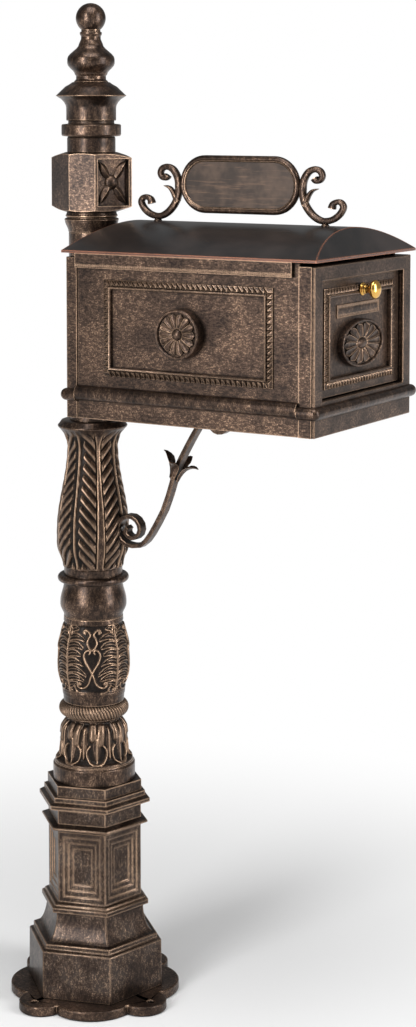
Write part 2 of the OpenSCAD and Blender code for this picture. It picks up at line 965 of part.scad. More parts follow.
// Points of an ellipse in the X-Y plane.
function oval(a, b, n = 48) =
  [for (i = [0:n - 1]) [a * cos(360 * i / n), b * sin(360 * i / n)]];

module door_medallion() {
  color("#8a6f50")
    translate([0, inner_face_y, medallion_z])
      rotate([90, 0, 0])
        difference() {
          linear_extrude(door_medallion_t)
            polygon(oval(door_medallion_a, door_medallion_b));
          translate([0, 0, door_medallion_t - 3.5])
            difference() {
              linear_extrude(4)
                polygon(oval(door_medallion_a - 6, door_medallion_b - 5));
              translate([0, 0, -eps])
                linear_extrude(3 + eps)
                  polygon(oval(13, 8, 24));
            }
        }
}

module door_tablet() {
  color("#7a6248")
    block(
      [-inner_w / 2 + tablet_side_gap, inner_face_y - 2, tablet_z],
      [inner_w / 2 - tablet_side_gap, inner_face_y, tablet_z + tablet_h]
    );
}

knob_face = door_y - door_leaf_proud;
rose_t = 5;
knob_stem_r = 5;

module knob_rose() {
  color("#b8902f")
    difference() {
      along_y(11, 0, knob_z, knob_face - rose_t, knob_face);
      along_y(2.5 + fit, 0, knob_z, knob_face - rose_t - eps, knob_face + eps);
    }
}

module knob() {
  r = knob_d / 2;
  half_t = 9;
  stem_end = 12;
  color("#c89a3a")
    translate([0, knob_face - rose_t, knob_z])
      rotate([90, 0, 0])
        difference() {
          rotate_extrude()
            polygon(concat(
              [[0, 0], [knob_stem_r + 2, 0], [knob_stem_r, 3], [knob_stem_r, stem_end - 3]],
              [for (i = [1:10]) [r * sin(180 - 16 * i), stem_end + half_t - 3 - half_t * cos(16 * i)]],
              [[0, stem_end + 2 * half_t - 3]]
            ));
          translate([0, 0, -eps])
            cylinder(r = 2.5 + fit, h = 12 + eps);
        }
}

module knob_screw() {
  color("silver") {
    along_y(2.5, 0, knob_z, knob_face - rose_t - 11, door_y + door_t + 0.1);
    along_y(5, 0, knob_z, door_y + door_t, door_y + door_t + 3);
  }
}

module hinge_pins() {
  color("silver")
    both_sides()
      along_x(pin_r, hinge_y, hinge_z, door_w / 2 - pin_in_door + 1, opening_w / 2 + pin_in_frame);
}

strike_t = 2;
catch_gap = 0.4;

module catch_magnet() {
  y = door_y + door_t + strike_t + catch_gap;
  color("dimgray") {
    block([-20, y, opening_top - 16], [20, y + 14, opening_top + 10]);
    block([-20, front_y + trim_t + frame_t, opening_top + 6], [20, y + 2, opening_top + 10]);
  }
}

module catch_strike() {
  y = door_y + door_t;
  color("silver")
    block([-16, y, opening_top - 15 - door_gap], [16, y + strike_t, opening_top - 1 - door_gap]);
}

/* Flag */
module flag_pivot() {
  color("silver") {
    along_x(flag_pin_r, flag_y, flag_z, inner_x - 4, flag_x + flag_t + 1);
    along_x(8, flag_y, flag_z, side_x, flag_x - 0.3);
    along_x(8, flag_y, flag_z, flag_x + flag_t + 0.3, flag_x + flag_t + 3);
    along_x(7, flag_y, flag_z, inner_x - 5, inner_x);
  }
}

module flag_arm() {
  arm_l = 150;
  blade_l = 62;
  color("firebrick")
    difference() {
      union() {
        along_x(11, flag_y, flag_z, flag_x, flag_x + flag_t);
        block([flag_x, flag_y, flag_z - 6], [flag_x + flag_t, flag_y + arm_l, flag_z + 6]);
        block(
          [flag_x, flag_y + arm_l - blade_l, flag_z - 6],
          [flag_x + flag_t, flag_y + arm_l, flag_z + 30]
        );
      }
      along_x(flag_pin_r + fit, flag_y, flag_z, flag_x - eps, flag_x + flag_t + eps);
    }
}

/* Joining the box to the post */
saddle_zs = [box_z + 45, frame_top - 55];
saddle_w = 64;
saddle_h = 56;
bolt_r = 4;

module post_saddles() {
  color("#4a3a30")
    for (z = saddle_zs)
      difference() {
        block([-saddle_w / 2, back_y, z - saddle_h / 2], [saddle_w / 2, -neck_r / 2, z + saddle_h / 2]);
        upright(neck_r + curve_gap, z - saddle_h, z + saddle_h);
        along_y(bolt_r + fit, 0, z, back_y - eps, 0);
      }
}

module saddle_bolts() {
  nut_y = -post_bore_r;
  color("silver")
    for (z = saddle_zs) {
      along_y(bolt_r, 0, z, back_y - panel_t - 1, nut_y + 11);
      along_y(7.5, 0, z, back_y - panel_t - 5, back_y - panel_t);
      along_y(7, 0, z, nut_y + 1.5, nut_y + 8);
    }
}

/* Scroll bracket */
// The lower curl rests against the feather section, and the upper one under the floor.
// The strap sits in a seat cut into the feather section.
curl_seat = 12;
curl_z = box_z - 223;
belly_z = feather_z + feather_h * 0.2 + 20;
waist_z = feather_z + feather_h * 0.84;
curl_share = min(1, max(0, (curl_z - belly_z) / (waist_z - belly_z)));
post_at_curl = feather_r - (feather_r - feather_waist_r) * (1 - cos(180 * curl_share)) / 2;
curl_radii = [[-100, 29], [0, 26], [90, 24.5], [180, 21], [270, 13.5], [360, 8], [400, 6.5]];
curl_reach = lookup(0, curl_radii) + strap_t / 2;
curl_y = curl_seat - post_at_curl - curve_gap - curl_reach;
upper_r0 = 32;
upper_r1 = 12;
upper_y = back_y - 200;
upper_z = floor_z - upper_r0 - 1;
upper_turn = 400;

// Points of a bend between two ends, pulled towards a third point.
function bend(a, pull, b, n = 8) =
  [for (i = [1:n]) let (t = i / n) a * pow(1 - t, 2) + 2 * pull * t * (1 - t) + b * pow(t, 2)];

// Middle line of the strap: lower spiral, S-shaped stem, upper spiral.
stem = [[-22, -26], [-33, -17], [-43, -4], [-56, 17], [-70, 42], [-81, 70], [-91, 101]];
stem_collar = [curl_y - 98, curl_z + 121];
stem_head = [upper_y + upper_r0, upper_z];
bracket_line = concat(
  [for (a = [400:-25:-100]) let (r = lookup(a, curl_radii)) [curl_y + r * cos(a), curl_z + r * sin(a)]],
  [for (p = stem) [curl_y + p[0], curl_z + p[1]]],
  [stem_collar],
  bend(stem_collar, stem_collar + [-26, 50], stem_head, 6),
  [for (i = [1:18]) let (a = upper_turn * i / 18, r = upper_r0 + (upper_r1 - upper_r0) * i / 18)
    [upper_y + r * cos(a), upper_z + r * sin(a)]]
);

// Outline of a strap of constant thickness along a line of points.
function along(line, i) =
  let (a = line[max(i - 1, 0)], b = line[min(i + 1, len(line) - 1)], d = b - a) d / norm(d);
function strap_outline(line, t) = concat(
  [for (i = [0:len(line) - 1]) let (d = along(line, i)) line[i] + [-d[1], d[0]] * t / 2],
  [for (i = [len(line) - 1:-1:0]) let (d = along(line, i)) line[i] - [-d[1], d[0]] * t / 2]
);

// A shape drawn in Y and Z, given a thickness across X.
module across_x(w) {
  translate([-w / 2, 0, 0])
    rotate([90, 0, 90])
      linear_extrude(w)
        children();
}

bracket_screw_r = 2.5;
bracket_screw_ys = [upper_y];
curl_screw_l = 26;

module scroll_bracket() {
  color("#54402f")
    difference() {
      across_x(strap_w)
        polygon(strap_outline(bracket_line, strap_t));
      for (y = bracket_screw_ys)
        translate([0, y, floor_z - 2 * strap_t])
          cylinder(r = bracket_screw_r + fit, h = 3 * strap_t);
      along_y(bracket_screw_r + fit, 0, curl_z, curl_y + curl_reach - strap_t - 2, curl_y + curl_reach + 1);
    }
}

module bracket_leaf() {
  tilt = 22;
  half_w = strap_w / 2;
  sepal = [
    [0, -18], [7, -18], [9, -8], [16, 0], [27, 5], [38, 9], [26, 9.5], [14, 7], [6, 3], [0, 3],
  ];
  side_sepal = [
    [0, -14], [half_w + 1, -14], [half_w + 3, -4], [half_w + 10, 4], [half_w + 19, 8], [half_w + 10, 8.5],
    [half_w + 2, 4], [0, 4],
  ];
  color("#7a5a3c")
    translate([0, stem_collar[0], stem_collar[1]])
      rotate([tilt, 0, 0])
        difference() {
          union()
            for (side = [0, 1]) {
              mirror([0, side, 0])
                across_x(strap_w + 6)
                  polygon(sepal);
              mirror([side, 0, 0])
                translate([0, strap_t / 2 + 2, 0])
                  rotate([90, 0, 0])
                    linear_extrude(strap_t + 4)
                      polygon(side_sepal);
            }
          block(
            [-strap_w / 2 - curve_gap, -strap_t / 2 - 3, -20],
            [strap_w / 2 + curve_gap, strap_t / 2 + 3, 20]
          );
        }
}

module bracket_screws() {
  head_y = curl_y + curl_reach - strap_t - 1.8;
  color("silver") {
    for (y = bracket_screw_ys) {
      translate([0, y, floor_z - strap_t])
        cylinder(r = bracket_screw_r, h = floor_t + strap_t);
      translate([0, y, floor_z + floor_t])
        cylinder(r = 5, h = 3);
    }
    along_y(bracket_screw_r, 0, curl_z, head_y, head_y + curl_screw_l);
    along_y(5, 0, curl_z, head_y - 3, head_y);
  }
}

/* Plaque */
module stadium(l, h) {
  square([l - h, h], center = true);
  for (side = [-1, 1])
    translate([side * (l - h) / 2, 0])
      circle(d = h, $fn = 96);
}

module plaque_place() {
  translate([0, plaque_y, plaque_z])
    rotate([90, 0, 90])
      children();
}

plaque_rim_w = 11;

module plaque_rim() {
  color("#6a5038")
    plaque_place()
      translate([0, 0, -plaque_t / 2])
        linear_extrude(plaque_t)
          difference() {
            stadium(plaque_l, plaque_h);
            stadium(plaque_l - 2 * plaque_rim_w, plaque_h - 2 * plaque_rim_w);
          }
}

module plaque_panel() {
  color("#54483c")
    plaque_place()
      translate([0, 0, -2.5])
        linear_extrude(5)
          stadium(plaque_l - 2 * plaque_rim_w, plaque_h - 2 * plaque_rim_w);
}

// One C-scroll: its line runs from the top curl, down the plaque's end and out to the lower curl.
// Its lower curl keeps its height above the roof's ridge.
ridge_drop = plaque_gap + plaque_h / 2;
scroll_reach = plaque_l / 2 + curve_gap + scroll_band / 2;
upper_hook = [
  [22.5, 14], [26, 9.5], [33, 10.5], [37, 17.5], [33.5, 25.5], [24, 29], [13, 25.5], [5.5, 17], [1, 6],
  [0, -6], [0, -14],
];
lower_hook = [
  [3.5, 39], [11, 26.5], [23, 15], [38, 8.5], [55, 10.5], [69, 19], [77, 31], [74.5, 38.5], [67.5, 41.5],
  [58.5, 38], [55.5, 30],
];
scroll_horn = [
  [1, 36], [9, 42], [14, 53], [21, 59], [30, 62], [20, 64.5], [9, 62], [3, 56], [-1, 50],
];
scroll_line = concat(
  [for (p = upper_hook) [scroll_reach + p[0], p[1]]],
  [for (p = lower_hook) [scroll_reach + p[0], p[1] - ridge_drop]]
);
foot_y = scroll_reach + 43;
foot_h = 9;
plaque_screw_ys = [plaque_y - foot_y, plaque_y + foot_y];

module plaque_scrolls() {
  low = -ridge_drop;
  color("#54402f")
    for (side = [0, 1])
      translate([0, plaque_y, plaque_z])
        mirror([0, side, 0])
          difference() {
            across_x(scroll_w) {
              polygon(strap_outline(scroll_line, scroll_band));
              polygon([for (p = scroll_horn) [scroll_reach + p[0], p[1] - ridge_drop]]);
              translate([foot_y - 5, low + curve_gap])
                square([10, foot_h]);
            }
            translate([0, foot_y, low - eps])
              cylinder(r = plaque_screw_r + fit, h = 10);
          }
}

module plaque_screws() {
  color("silver")
    for (y = plaque_screw_ys) {
      translate([0, y, ridge_z - roof_t - 0.3])
        cylinder(r = plaque_screw_r, h = roof_t + 8);
      translate([0, y, ridge_z - roof_t - 3.3])
        cylinder(r = 4, h = 3);
    }
}

base_plate();
plinth();
die();
cornice();
drum_collar();
acanthus_band();
rope_ring();
palmette_column();
bell_collar();
plain_ring();
feather_column();
neck_post();
neck_ring();
rosette_block();
block_rosettes();
spool_ring();
finial_cup();
finial_onion();
finial_ball();
tie_rod();
tie_rod_nuts();
box_floor();
left_side();
right_side();
rear_panel();
rear_posts();
front_frame();
front_trim();
side_mouldings();
corner_mouldings();
leaf_frames();
side_medallions();
roof_shell();
roof_fascias();
roof_screws();
door_panel();
door_leaf_frame();
door_medallion();
door_tablet();
knob();
knob_rose();
knob_screw();
hinge_pins();
catch_magnet();
catch_strike();
flag_pivot();
flag_arm();
post_saddles();
saddle_bolts();
scroll_bracket();
bracket_leaf();
bracket_screws();
plaque_rim();
plaque_panel();
plaque_scrolls();
plaque_screws();
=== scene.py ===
"""Pedestal mailbox in antique bronze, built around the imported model's castings."""

import math

import bmesh
import bpy
import numpy as np
from mathutils import Matrix, Vector


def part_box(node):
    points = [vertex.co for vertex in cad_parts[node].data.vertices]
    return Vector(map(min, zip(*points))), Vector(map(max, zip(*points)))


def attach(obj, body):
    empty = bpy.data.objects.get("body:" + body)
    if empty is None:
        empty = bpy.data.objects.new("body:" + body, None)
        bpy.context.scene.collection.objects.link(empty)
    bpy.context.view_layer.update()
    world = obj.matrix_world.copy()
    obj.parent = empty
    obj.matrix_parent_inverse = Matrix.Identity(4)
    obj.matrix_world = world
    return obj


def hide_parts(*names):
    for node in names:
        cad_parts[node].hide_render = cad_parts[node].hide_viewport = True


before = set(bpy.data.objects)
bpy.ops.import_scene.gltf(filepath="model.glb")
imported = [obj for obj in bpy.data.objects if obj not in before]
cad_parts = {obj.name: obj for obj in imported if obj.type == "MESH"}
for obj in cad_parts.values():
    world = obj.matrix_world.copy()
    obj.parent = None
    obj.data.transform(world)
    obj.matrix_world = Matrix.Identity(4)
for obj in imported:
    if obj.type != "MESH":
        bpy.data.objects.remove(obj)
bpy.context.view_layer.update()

bl_info = {
    "name": "Pedestal Mailbox",
    "version": (1, 0, 0),
    "blender": (4, 5, 0),
    "location": "View3D > Sidebar > Mailbox",
    "description": "Dresses the castings of a pedestal mailbox in antique bronze",
    "category": "Object",
}

MM = 0.001
HOUSING = "housing"
DOOR = "door"
FLAG = "flag"

# Rounding of the edges of small steel pieces
STEEL_EDGE = 0.0004
# Bore of the column's castings, in millimetres
COLUMN_BORE = 33.0
# Turn of the block about the post's axis, in degrees
BLOCK_YAW = -30.0
# Where the floor of the block's recessed panels lies: sideways from the axis, and out from it
BLOCK_PANEL_SHIFT = 0.01725
BLOCK_PANEL_DEEP = 0.0455
# Stretch of the block's four leaves into the corners of their upright panel
BLOCK_LEAVES = Matrix.Diagonal((0.84, 1.17, 1, 1))
# Lean of the calyx along the strap, in degrees, and its heart's place inside the node's box
CALYX_TILT = 22.0
CALYX_BACK = 0.0319
CALYX_DOWN = 0.0226
# Width of the leaf frames' moulding
FRAME_MEMBER = 0.016
# How far the sides' leaf frames and medallions stand out from their seats
FRAME_PROUD = 0.008
MEDALLION_PROUD = 0.022
# Radius of the floor, and its drop under the base plate
FLOOR_REACH = 40
FLOOR_DROP = 0.0004


# ---------------------------------------------------------------- settings

def colour(name, text, value):
    return bpy.props.FloatVectorProperty(
        name=name, description=text, subtype="COLOR", size=3, default=value, min=0, max=1
    )


def share(name, text, value):
    return bpy.props.FloatProperty(
        name=name, description=text, subtype="FACTOR", default=value, min=0, max=1
    )


def size(name, text, value):
    return bpy.props.FloatProperty(
        name=name, description=text, subtype="DISTANCE", unit="LENGTH", default=value, min=0
    )


def number(name, text, value):
    return bpy.props.IntProperty(name=name, description=text, default=value, min=1)


class MailboxFinish(bpy.types.PropertyGroup):
    """Colours and wear of the finishes."""
    dark: colour("Dark bronze", "Darkest patches of the patina", (0.012, 0.0076, 0.0058))
    mid: colour("Bronze", "Main colour of the patina", (0.104, 0.062, 0.042))
    gold: colour("Rubbed bronze", "Metal that shows where the patina is rubbed off", (0.66, 0.435, 0.285))
    # Near-black that the bronze and plaque finishes paint into recesses as shade
    painted_shade_colour: colour("Recess", "Patina left in the recesses", (0.004, 0.003, 0.0026))
    roof: colour("Roof", "Grey-black of the roof's skin", (0.016, 0.0145, 0.0145))
    copper: colour("Copper edge", "Copper that shows along the roof's edges", (0.55, 0.20, 0.10))
    brass: colour("Brass", "Knob and its rose", (0.80, 0.47, 0.12))
    steel: colour("Steel", "Bolts, screws, pins and the tie rod", (0.42, 0.41, 0.40))
    red: colour("Flag red", "Paint of the signal flag", (0.36, 0.020, 0.016))
    wear: share("Wear", "How much metal shows along the edges", 0.75)


class MailboxRelief(bpy.types.PropertyGroup):
    """Counts and sizes of the cast ornament."""
    rope_strands: number("Rope strands", "Strands around the rope ring", 64)
    side_petals: number("Side petals", "Petals of a side medallion", 14)
    door_petals: number("Door petals", "Petals of the door's medallion", 14)
    leaf_pitch: size("Leaf pitch", "Distance between the leaves of the frames", 0.0098)
    bead_pitch: size("Bead pitch", "Distance between the beads under the fascia", 0.0042)
    feather_pitch: size("Feather pitch", "Distance between the barbs of the feather section", 0.0205)


class MailboxStage(bpy.types.PropertyGroup):
    """Camera, floor and lights."""
    camera_place: bpy.props.FloatVectorProperty(
        name="Camera", description="Where the camera stands", subtype="TRANSLATION", unit="LENGTH",
        size=3, default=(-3.202, -2.179, 1.624),
    )
    camera_yaw: bpy.props.FloatProperty(
        name="Camera yaw", description="Heading of the camera", subtype="ANGLE",
        default=math.radians(31.16),
    )
    camera_pitch: bpy.props.FloatProperty(
        name="Camera pitch", description="How far the camera looks down", subtype="ANGLE",
        default=math.radians(4.94),
    )
    lens: bpy.props.FloatProperty(
        name="Lens", description="Focal length", subtype="DISTANCE_CAMERA", default=75.95
    )
    shift: bpy.props.FloatProperty(
        name="Shift", description="Vertical shift of the lens", default=-0.2176
    )
    floor: colour("Floor", "Pale studio floor", (0.86, 0.86, 0.86))


# ---------------------------------------------------------------- shader maths

class Value:
    """A shader value. Arithmetic on it adds Math nodes."""

    def __init__(self, finish, socket):
        self.finish = finish
        self.socket = socket

    def _math(self, operation, a, b):
        return self.finish.node("ShaderNodeMath", {"operation": operation}, {0: a, 1: b})

    def __add__(self, other):
        return self._math("ADD", self, other)

    def __sub__(self, other):
        return self._math("SUBTRACT", self, other)

    def __rsub__(self, other):
        return self._math("SUBTRACT", other, self)

    def __mul__(self, other):
        return self._math("MULTIPLY", self, other)

    __radd__ = __add__
    __rmul__ = __mul__

    def clamped(self):
        return self.finish.node("ShaderNodeClamp", {}, {0: self})

    def larger(self, other):
        return self._math("MAXIMUM", self, other)

    def between(self, low, high):
        """0 below low, 1 above high, smooth in between."""
        return self.finish.node(
            "ShaderNodeMapRange", {"interpolation_type": "SMOOTHSTEP"},
            {"Value": self, "From Min": low, "From Max": high},
        )


class Finish:
    """A material under construction."""

    def __init__(self, name):
        self.material = bpy.data.materials.new(name)
        self.material.use_nodes = True
        self.tree = self.material.node_tree
        self.tree.nodes.clear()
        self.place = self.node("ShaderNodeTexCoord", {}, {}, "Object")

    def node(self, kind, settings, inputs, output=0):
        """Adds a node: its settings first, then the values or links of its sockets."""
        made = self.tree.nodes.new(kind)
        for key, value in settings.items():
            setattr(made, key, value)
        for key, value in inputs.items():
            target = made.inputs[key]
            if isinstance(value, Value):
                self.tree.links.new(value.socket, target)
            elif hasattr(target.default_value, "__len__") and len(target.default_value) == 4:
                target.default_value = (*value[:3], 1)
            else:
                target.default_value = value
        return Value(self, made.outputs[output])

    def stretched(self, factors):
        """Places for a pattern that is drawn out where a factor is under 1."""
        return self.node("ShaderNodeMapping", {}, {"Vector": self.place, "Scale": factors})

    def noise(self, per_metre, detail=3.0, rough=0.55, place=None):
        return self.node(
            "ShaderNodeTexNoise", {},
            {"Vector": place or self.place, "Scale": per_metre, "Detail": detail, "Roughness": rough},
        )

    def mix(self, share_of_b, a, b, how="MIX"):
        return self.node(
            "ShaderNodeMix", {"data_type": "RGBA", "blend_type": how},
            {"Factor": share_of_b, 6: a, 7: b}, 2,
        )

    def attribute(self, name):
        return self.node("ShaderNodeAttribute", {"attribute_name": name}, {}, "Fac")

    def edges(self, radius):
        """1 on edges and corners, 0 on flat metal."""
        rounded = self.node("ShaderNodeBevel", {"samples": 4}, {"Radius": radius})
        flat = self.node("ShaderNodeNewGeometry", {}, {}, "Normal")
        dot = self.node("ShaderNodeVectorMath", {"operation": "DOT_PRODUCT"}, {0: rounded, 1: flat}, "Value")
        return 1 - dot

    def openness(self, reach):
        """1 where the metal lies open, less in recesses."""
        return self.node("ShaderNodeAmbientOcclusion", {"samples": 6}, {"Distance": reach}, "AO")

    def close(self, shade, roughness, metallic, height, depth, coat, coat_rough):
        """Ends the material: height is the unevenness of the surface, and depth its size in metres."""
        normal = self.node("ShaderNodeBump", {}, {"Strength": 1.0, "Distance": depth, "Height": height})
        self.show(self.node("ShaderNodeBsdfPrincipled", {}, {
            "Base Color": shade, "Roughness": roughness, "Metallic": metallic, "Coat Weight": coat,
            "Coat Roughness": coat_rough, "Normal": normal,
        }))
        return self.material

    def show(self, shader):
        out = self.tree.nodes.new("ShaderNodeOutputMaterial")
        self.tree.links.new(shader.socket, out.inputs["Surface"])


materials = {}


def bronze(look, name, streaks=None, grey=0.0, bright=1.0, edge_reach=0.0026, gloss=0.0, fine=1.0):
    """Cast bronze: mottled patina, rubbed edges, painted shade in the recesses."""
    f = Finish(name)
    # Patina: broad clouds, blots and fine grains
    ground = f.stretched(streaks) if streaks else f.place
    clouds = f.noise(16, 3, 0.6)
    blots = f.noise(150 * fine, 4, 0.65, ground)
    grains = f.noise(820, 2, 0.7, ground)
    sponge = (blots * 0.55 + grains * 0.45).between(0.40, 0.63)
    tone = sponge * 0.62 + clouds.between(0.35, 0.7) * 0.38
    patina = f.mix(tone, look.dark, [c * bright for c in look.mid])
    if grey:
        patina = f.mix(clouds.between(0.45, 0.7) * grey, patina, (0.070, 0.060, 0.054))
    # Specks of bare metal where all three are high
    specks = grains.between(0.50, 0.68) * blots.between(0.42, 0.62) * clouds.between(0.35, 0.65)
    rubbed = f.mix(specks * 0.65, patina, look.gold)
    # Bare metal along open edges and on the crests of the relief
    open_metal = f.openness(0.014)
    edge = f.edges(edge_reach)
    wear = (edge.between(0.003, 0.09) * open_metal.between(0.45, 0.9) * (0.35 + blots * 1.2)).clamped()
    gild = f.attribute("gild")
    wear = wear.larger((gild * (0.30 + blots * 0.95)).clamped()) * look.wear
    worn = f.mix(wear, rubbed, look.gold)
    # Painted shade: near-black mixed into the recesses that the occlusion test or the relief marks
    hollow = (1 - open_metal).between(0.22, 0.78).larger(f.attribute("hollow"))
    final = f.mix(hollow * 0.94, worn, look.painted_shade_colour)
    rough = 0.40 - gloss - wear * 0.06 + grains * 0.12 - tone * 0.08 + hollow * 0.3
    height = grains * 0.35 + blots * 0.65
    materials[name] = f.close(final, rough, 0.82, height, 0.00018, coat=0.10, coat_rough=0.22)
    return materials[name]


def roof_metal(look):
    """Smooth grey-black skin, copper along its edges."""
    f = Finish("roof_metal")
    clouds = f.noise(9, 3, 0.55)
    drawn = f.noise(120, 3, 0.6, f.stretched((1.0, 0.25, 1.0)))
    grains = f.noise(900, 2, 0.6)
    skin = f.mix(clouds.between(0.35, 0.7), look.roof, (0.048, 0.038, 0.035))
    skin = f.mix(drawn.between(0.5, 0.8) * 0.30, skin, (0.060, 0.040, 0.030))
    edge = f.edges(0.004).between(0.003, 0.05) * (0.35 + drawn)
    final = f.mix(edge.clamped() * look.wear, skin, look.copper)
    rough = 0.22 + grains * 0.08 + clouds * 0.08
    materials["roof_metal"] = f.close(final, rough, 0.55, grains * 0.4 + drawn * 0.6, 0.00008,
                                      coat=0.35, coat_rough=0.28)


def plaque_metal(look):
    """Blank plate with level brush marks."""
    f = Finish("plaque_metal")
    brushed = f.noise(150, 4, 0.6, f.stretched((1.0, 0.10, 1.3)))
    clouds = f.noise(26, 3, 0.6)
    grains = f.noise(800, 2, 0.6)
    skin = f.mix(clouds.between(0.35, 0.7), (0.036, 0.026, 0.021), (0.080, 0.054, 0.040))
    skin = f.mix(brushed.between(0.52, 0.78) * 0.55, skin, (0.22, 0.13, 0.082))
    # Painted shade: near-black mixed into the recesses that the occlusion test finds
    hollow = (1 - f.openness(0.012)).between(0.25, 0.8)
    final = f.mix(hollow * 0.85, skin, look.painted_shade_colour)
    rough = 0.44 + grains * 0.15 - brushed * 0.1
    materials["plaque_metal"] = f.close(final, rough, 0.6, brushed * 0.7 + grains * 0.3, 0.00015,
                                        coat=0.15, coat_rough=0.25)


def bright_metal(name, shade, rough, low, tint):
    """Polished or plain metal with faint turning marks, dull patches and painted shade in its recesses."""
    f = Finish(name)
    clouds = f.noise(60, 3, 0.6)
    fine = f.noise(900, 2, 0.6)
    rings = f.noise(420, 2, 0.5, f.stretched((0.3, 4.0, 0.3)))
    # Painted shade: recesses that the occlusion test finds are darkened towards a dark copy of the dull
    # colour
    hollow = (1 - f.openness(0.006)).between(0.3, 0.85)
    skin = f.mix(clouds.between(0.4, 0.75) * tint, shade, low)
    final = f.mix(hollow * 0.7, skin, [c * 0.15 for c in low])
    roughness = rough + clouds * 0.10 + fine * 0.05
    materials[name] = f.close(final, roughness, 0.95, rings * 0.6 + fine * 0.4, 0.00003, coat=0.1,
                              coat_rough=0.1)


def flag_paint(look):
    """Red enamel, chipped along its edges."""
    f = Finish("flag_paint")
    clouds = f.noise(40, 3, 0.6)
    chips = f.noise(260, 3, 0.7)
    edge = (f.edges(0.0016).between(0.01, 0.12) * chips.between(0.42, 0.6)).clamped()
    skin = f.mix(clouds.between(0.35, 0.75), look.red, [c * 0.6 for c in look.red])
    final = f.mix(edge * 0.8, skin, (0.10, 0.075, 0.06))
    rough = 0.30 + chips * 0.18 + edge * 0.2
    materials["flag_paint"] = f.close(final, rough, 0.0, chips, 0.00010, coat=0.4, coat_rough=0.12)


# ---------------------------------------------------------------- mesh helpers

def mesh_of(name, points, faces):
    mesh = bpy.data.meshes.new(name)
    mesh.from_pydata([tuple(p) for p in points], [], [tuple(f) for f in faces])
    mesh.validate()
    return mesh


def outward(mesh):
    """Merges doubles and turns every face outwards."""
    work = bmesh.new()
    work.from_mesh(mesh)
    bmesh.ops.remove_doubles(work, verts=work.verts, dist=1e-7)
    bmesh.ops.recalc_face_normals(work, faces=work.faces)
    work.to_mesh(mesh)
    work.free()
    return mesh


def joined(name, meshes):
    """One mesh out of several."""
    work = bmesh.new()
    for mesh in meshes:
        work.from_mesh(mesh)
        bpy.data.meshes.remove(mesh)
    mesh = bpy.data.meshes.new(name)
    work.to_mesh(mesh)
    work.free()
    return mesh


def moved(mesh, matrix):
    """Places a mesh, and keeps its faces outwards if the matrix mirrors it."""
    mesh.transform(matrix)
    if matrix.determinant() < 0:
        mesh.flip_normals()
    return mesh


def piece(name, mesh, material, nodes, body=HOUSING, round_edges=0.0, segments=2, smooth=34):
    """Puts a finished piece in the scene, on its body and in the place of its CAD nodes."""
    mesh.materials.clear()
    mesh.materials.append(materials[material])
    for polygon in mesh.polygons:
        polygon.material_index = 0
    mesh.shade_smooth()
    mesh.set_sharp_from_angle(angle=math.radians(smooth))
    made = bpy.data.objects.new(name, mesh)
    bpy.context.scene.collection.objects.link(made)
    if round_edges:
        bevel = made.modifiers.new("Rounded edges", "BEVEL")
        bevel.width = round_edges
        bevel.segments = segments
        bevel.limit_method = "ANGLE"
        bevel.angle_limit = math.radians(smooth)
    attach(made, body)
    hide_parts(*nodes)


def casting(node):
    """A merged copy of a CAD node's mesh, without the shading that was stored for its loose triangles."""
    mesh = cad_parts[node].data.copy()
    mesh.name = node
    work = bmesh.new()
    work.from_mesh(mesh)
    bmesh.ops.remove_doubles(work, verts=work.verts, dist=2e-6)
    work.to_mesh(mesh)
    work.free()
    stored = mesh.attributes.get("custom_normal")
    if stored:
        mesh.attributes.remove(stored)
    return mesh


def cast_piece(node, material, round_edges, segments=2, smooth=34, body=HOUSING):
    """A piece whose shape is its CAD node's, with rounded edges."""
    piece(node + "_cast", casting(node), material, [node], body, round_edges, segments, smooth)


def rounded(points, radius, steps=3):
    """A line of (r, z) points with its corners rounded."""
    done = [points[0]]
    for before, at, after in zip(points, points[1:], points[2:]):
        a, p, b = Vector(before), Vector(at), Vector(after)
        one, two = a - p, b - p
        reach = min(radius, one.length * 0.45, two.length * 0.45)
        if reach < 1e-6 or one.angle(two) > math.radians(172):
            done.append(at)
            continue
        start, end = p + one.normalized() * reach, p + two.normalized() * reach
        for i in range(steps + 1):
            t = i / steps
            q = start * (1 - t) ** 2 + p * 2 * t * (1 - t) + end * t ** 2
            done.append((q.x, q.y))
    done.append(points[-1])
    return done


def turned(name, outline, bore, around, radius):
    """A turned piece: an outline of (r, z) in millimetres from foot to head, its bore and corner radius."""
    line = rounded(outline, radius)
    ring = [(bore, line[0][1])] + line + [(bore, line[-1][1])]
    count = len(ring)
    turns = [2 * math.pi * i / around for i in range(around)]
    points = [(r * math.cos(t) * MM, r * math.sin(t) * MM, z * MM) for t in turns for r, z in ring]
    faces = []
    for i in range(around):
        a, b = i * count, (i + 1) % around * count
        for k in range(count):
            n = (k + 1) % count
            faces.append((a + k, b + k, b + n, a + n))
    return outward(mesh_of(name, points, faces))


def swept(name, line, inward, section):
    """A section of (inward, up) points carried round a closed line of (x, y) points in the X-Y plane."""
    count = len(section)
    points = [
        (x + ix * d, y + iy * d, h) for (x, y), (ix, iy) in zip(line, inward) for d, h in section
    ]
    faces = []
    for i in range(len(line)):
        a, b = i * count, (i + 1) % len(line) * count
        for k in range(count):
            n = (k + 1) % count
            faces.append((a + k, b + k, b + n, a + n))
    return outward(mesh_of(name, points, faces))


def rectangle(w, h):
    """Corners of a rectangle, and the inward direction at each."""
    line = [(-w / 2, -h / 2), (w / 2, -h / 2), (w / 2, h / 2), (-w / 2, h / 2)]
    return line, [(1, 1), (-1, 1), (-1, -1), (1, -1)]


def stadium(length, height, steps=28):
    """A line with two round ends, and the inward direction at each point."""
    line, inward = [], []
    for side in (1, -1):
        for i in range(steps + 1):
            t = math.radians(-90 + 180 * i / steps)
            nx, ny = math.cos(t) * side, math.sin(t) * side
            line.append((side * (length - height) / 2 + nx * height / 2, ny * height / 2))
            inward.append((-nx, -ny))
    return line, inward


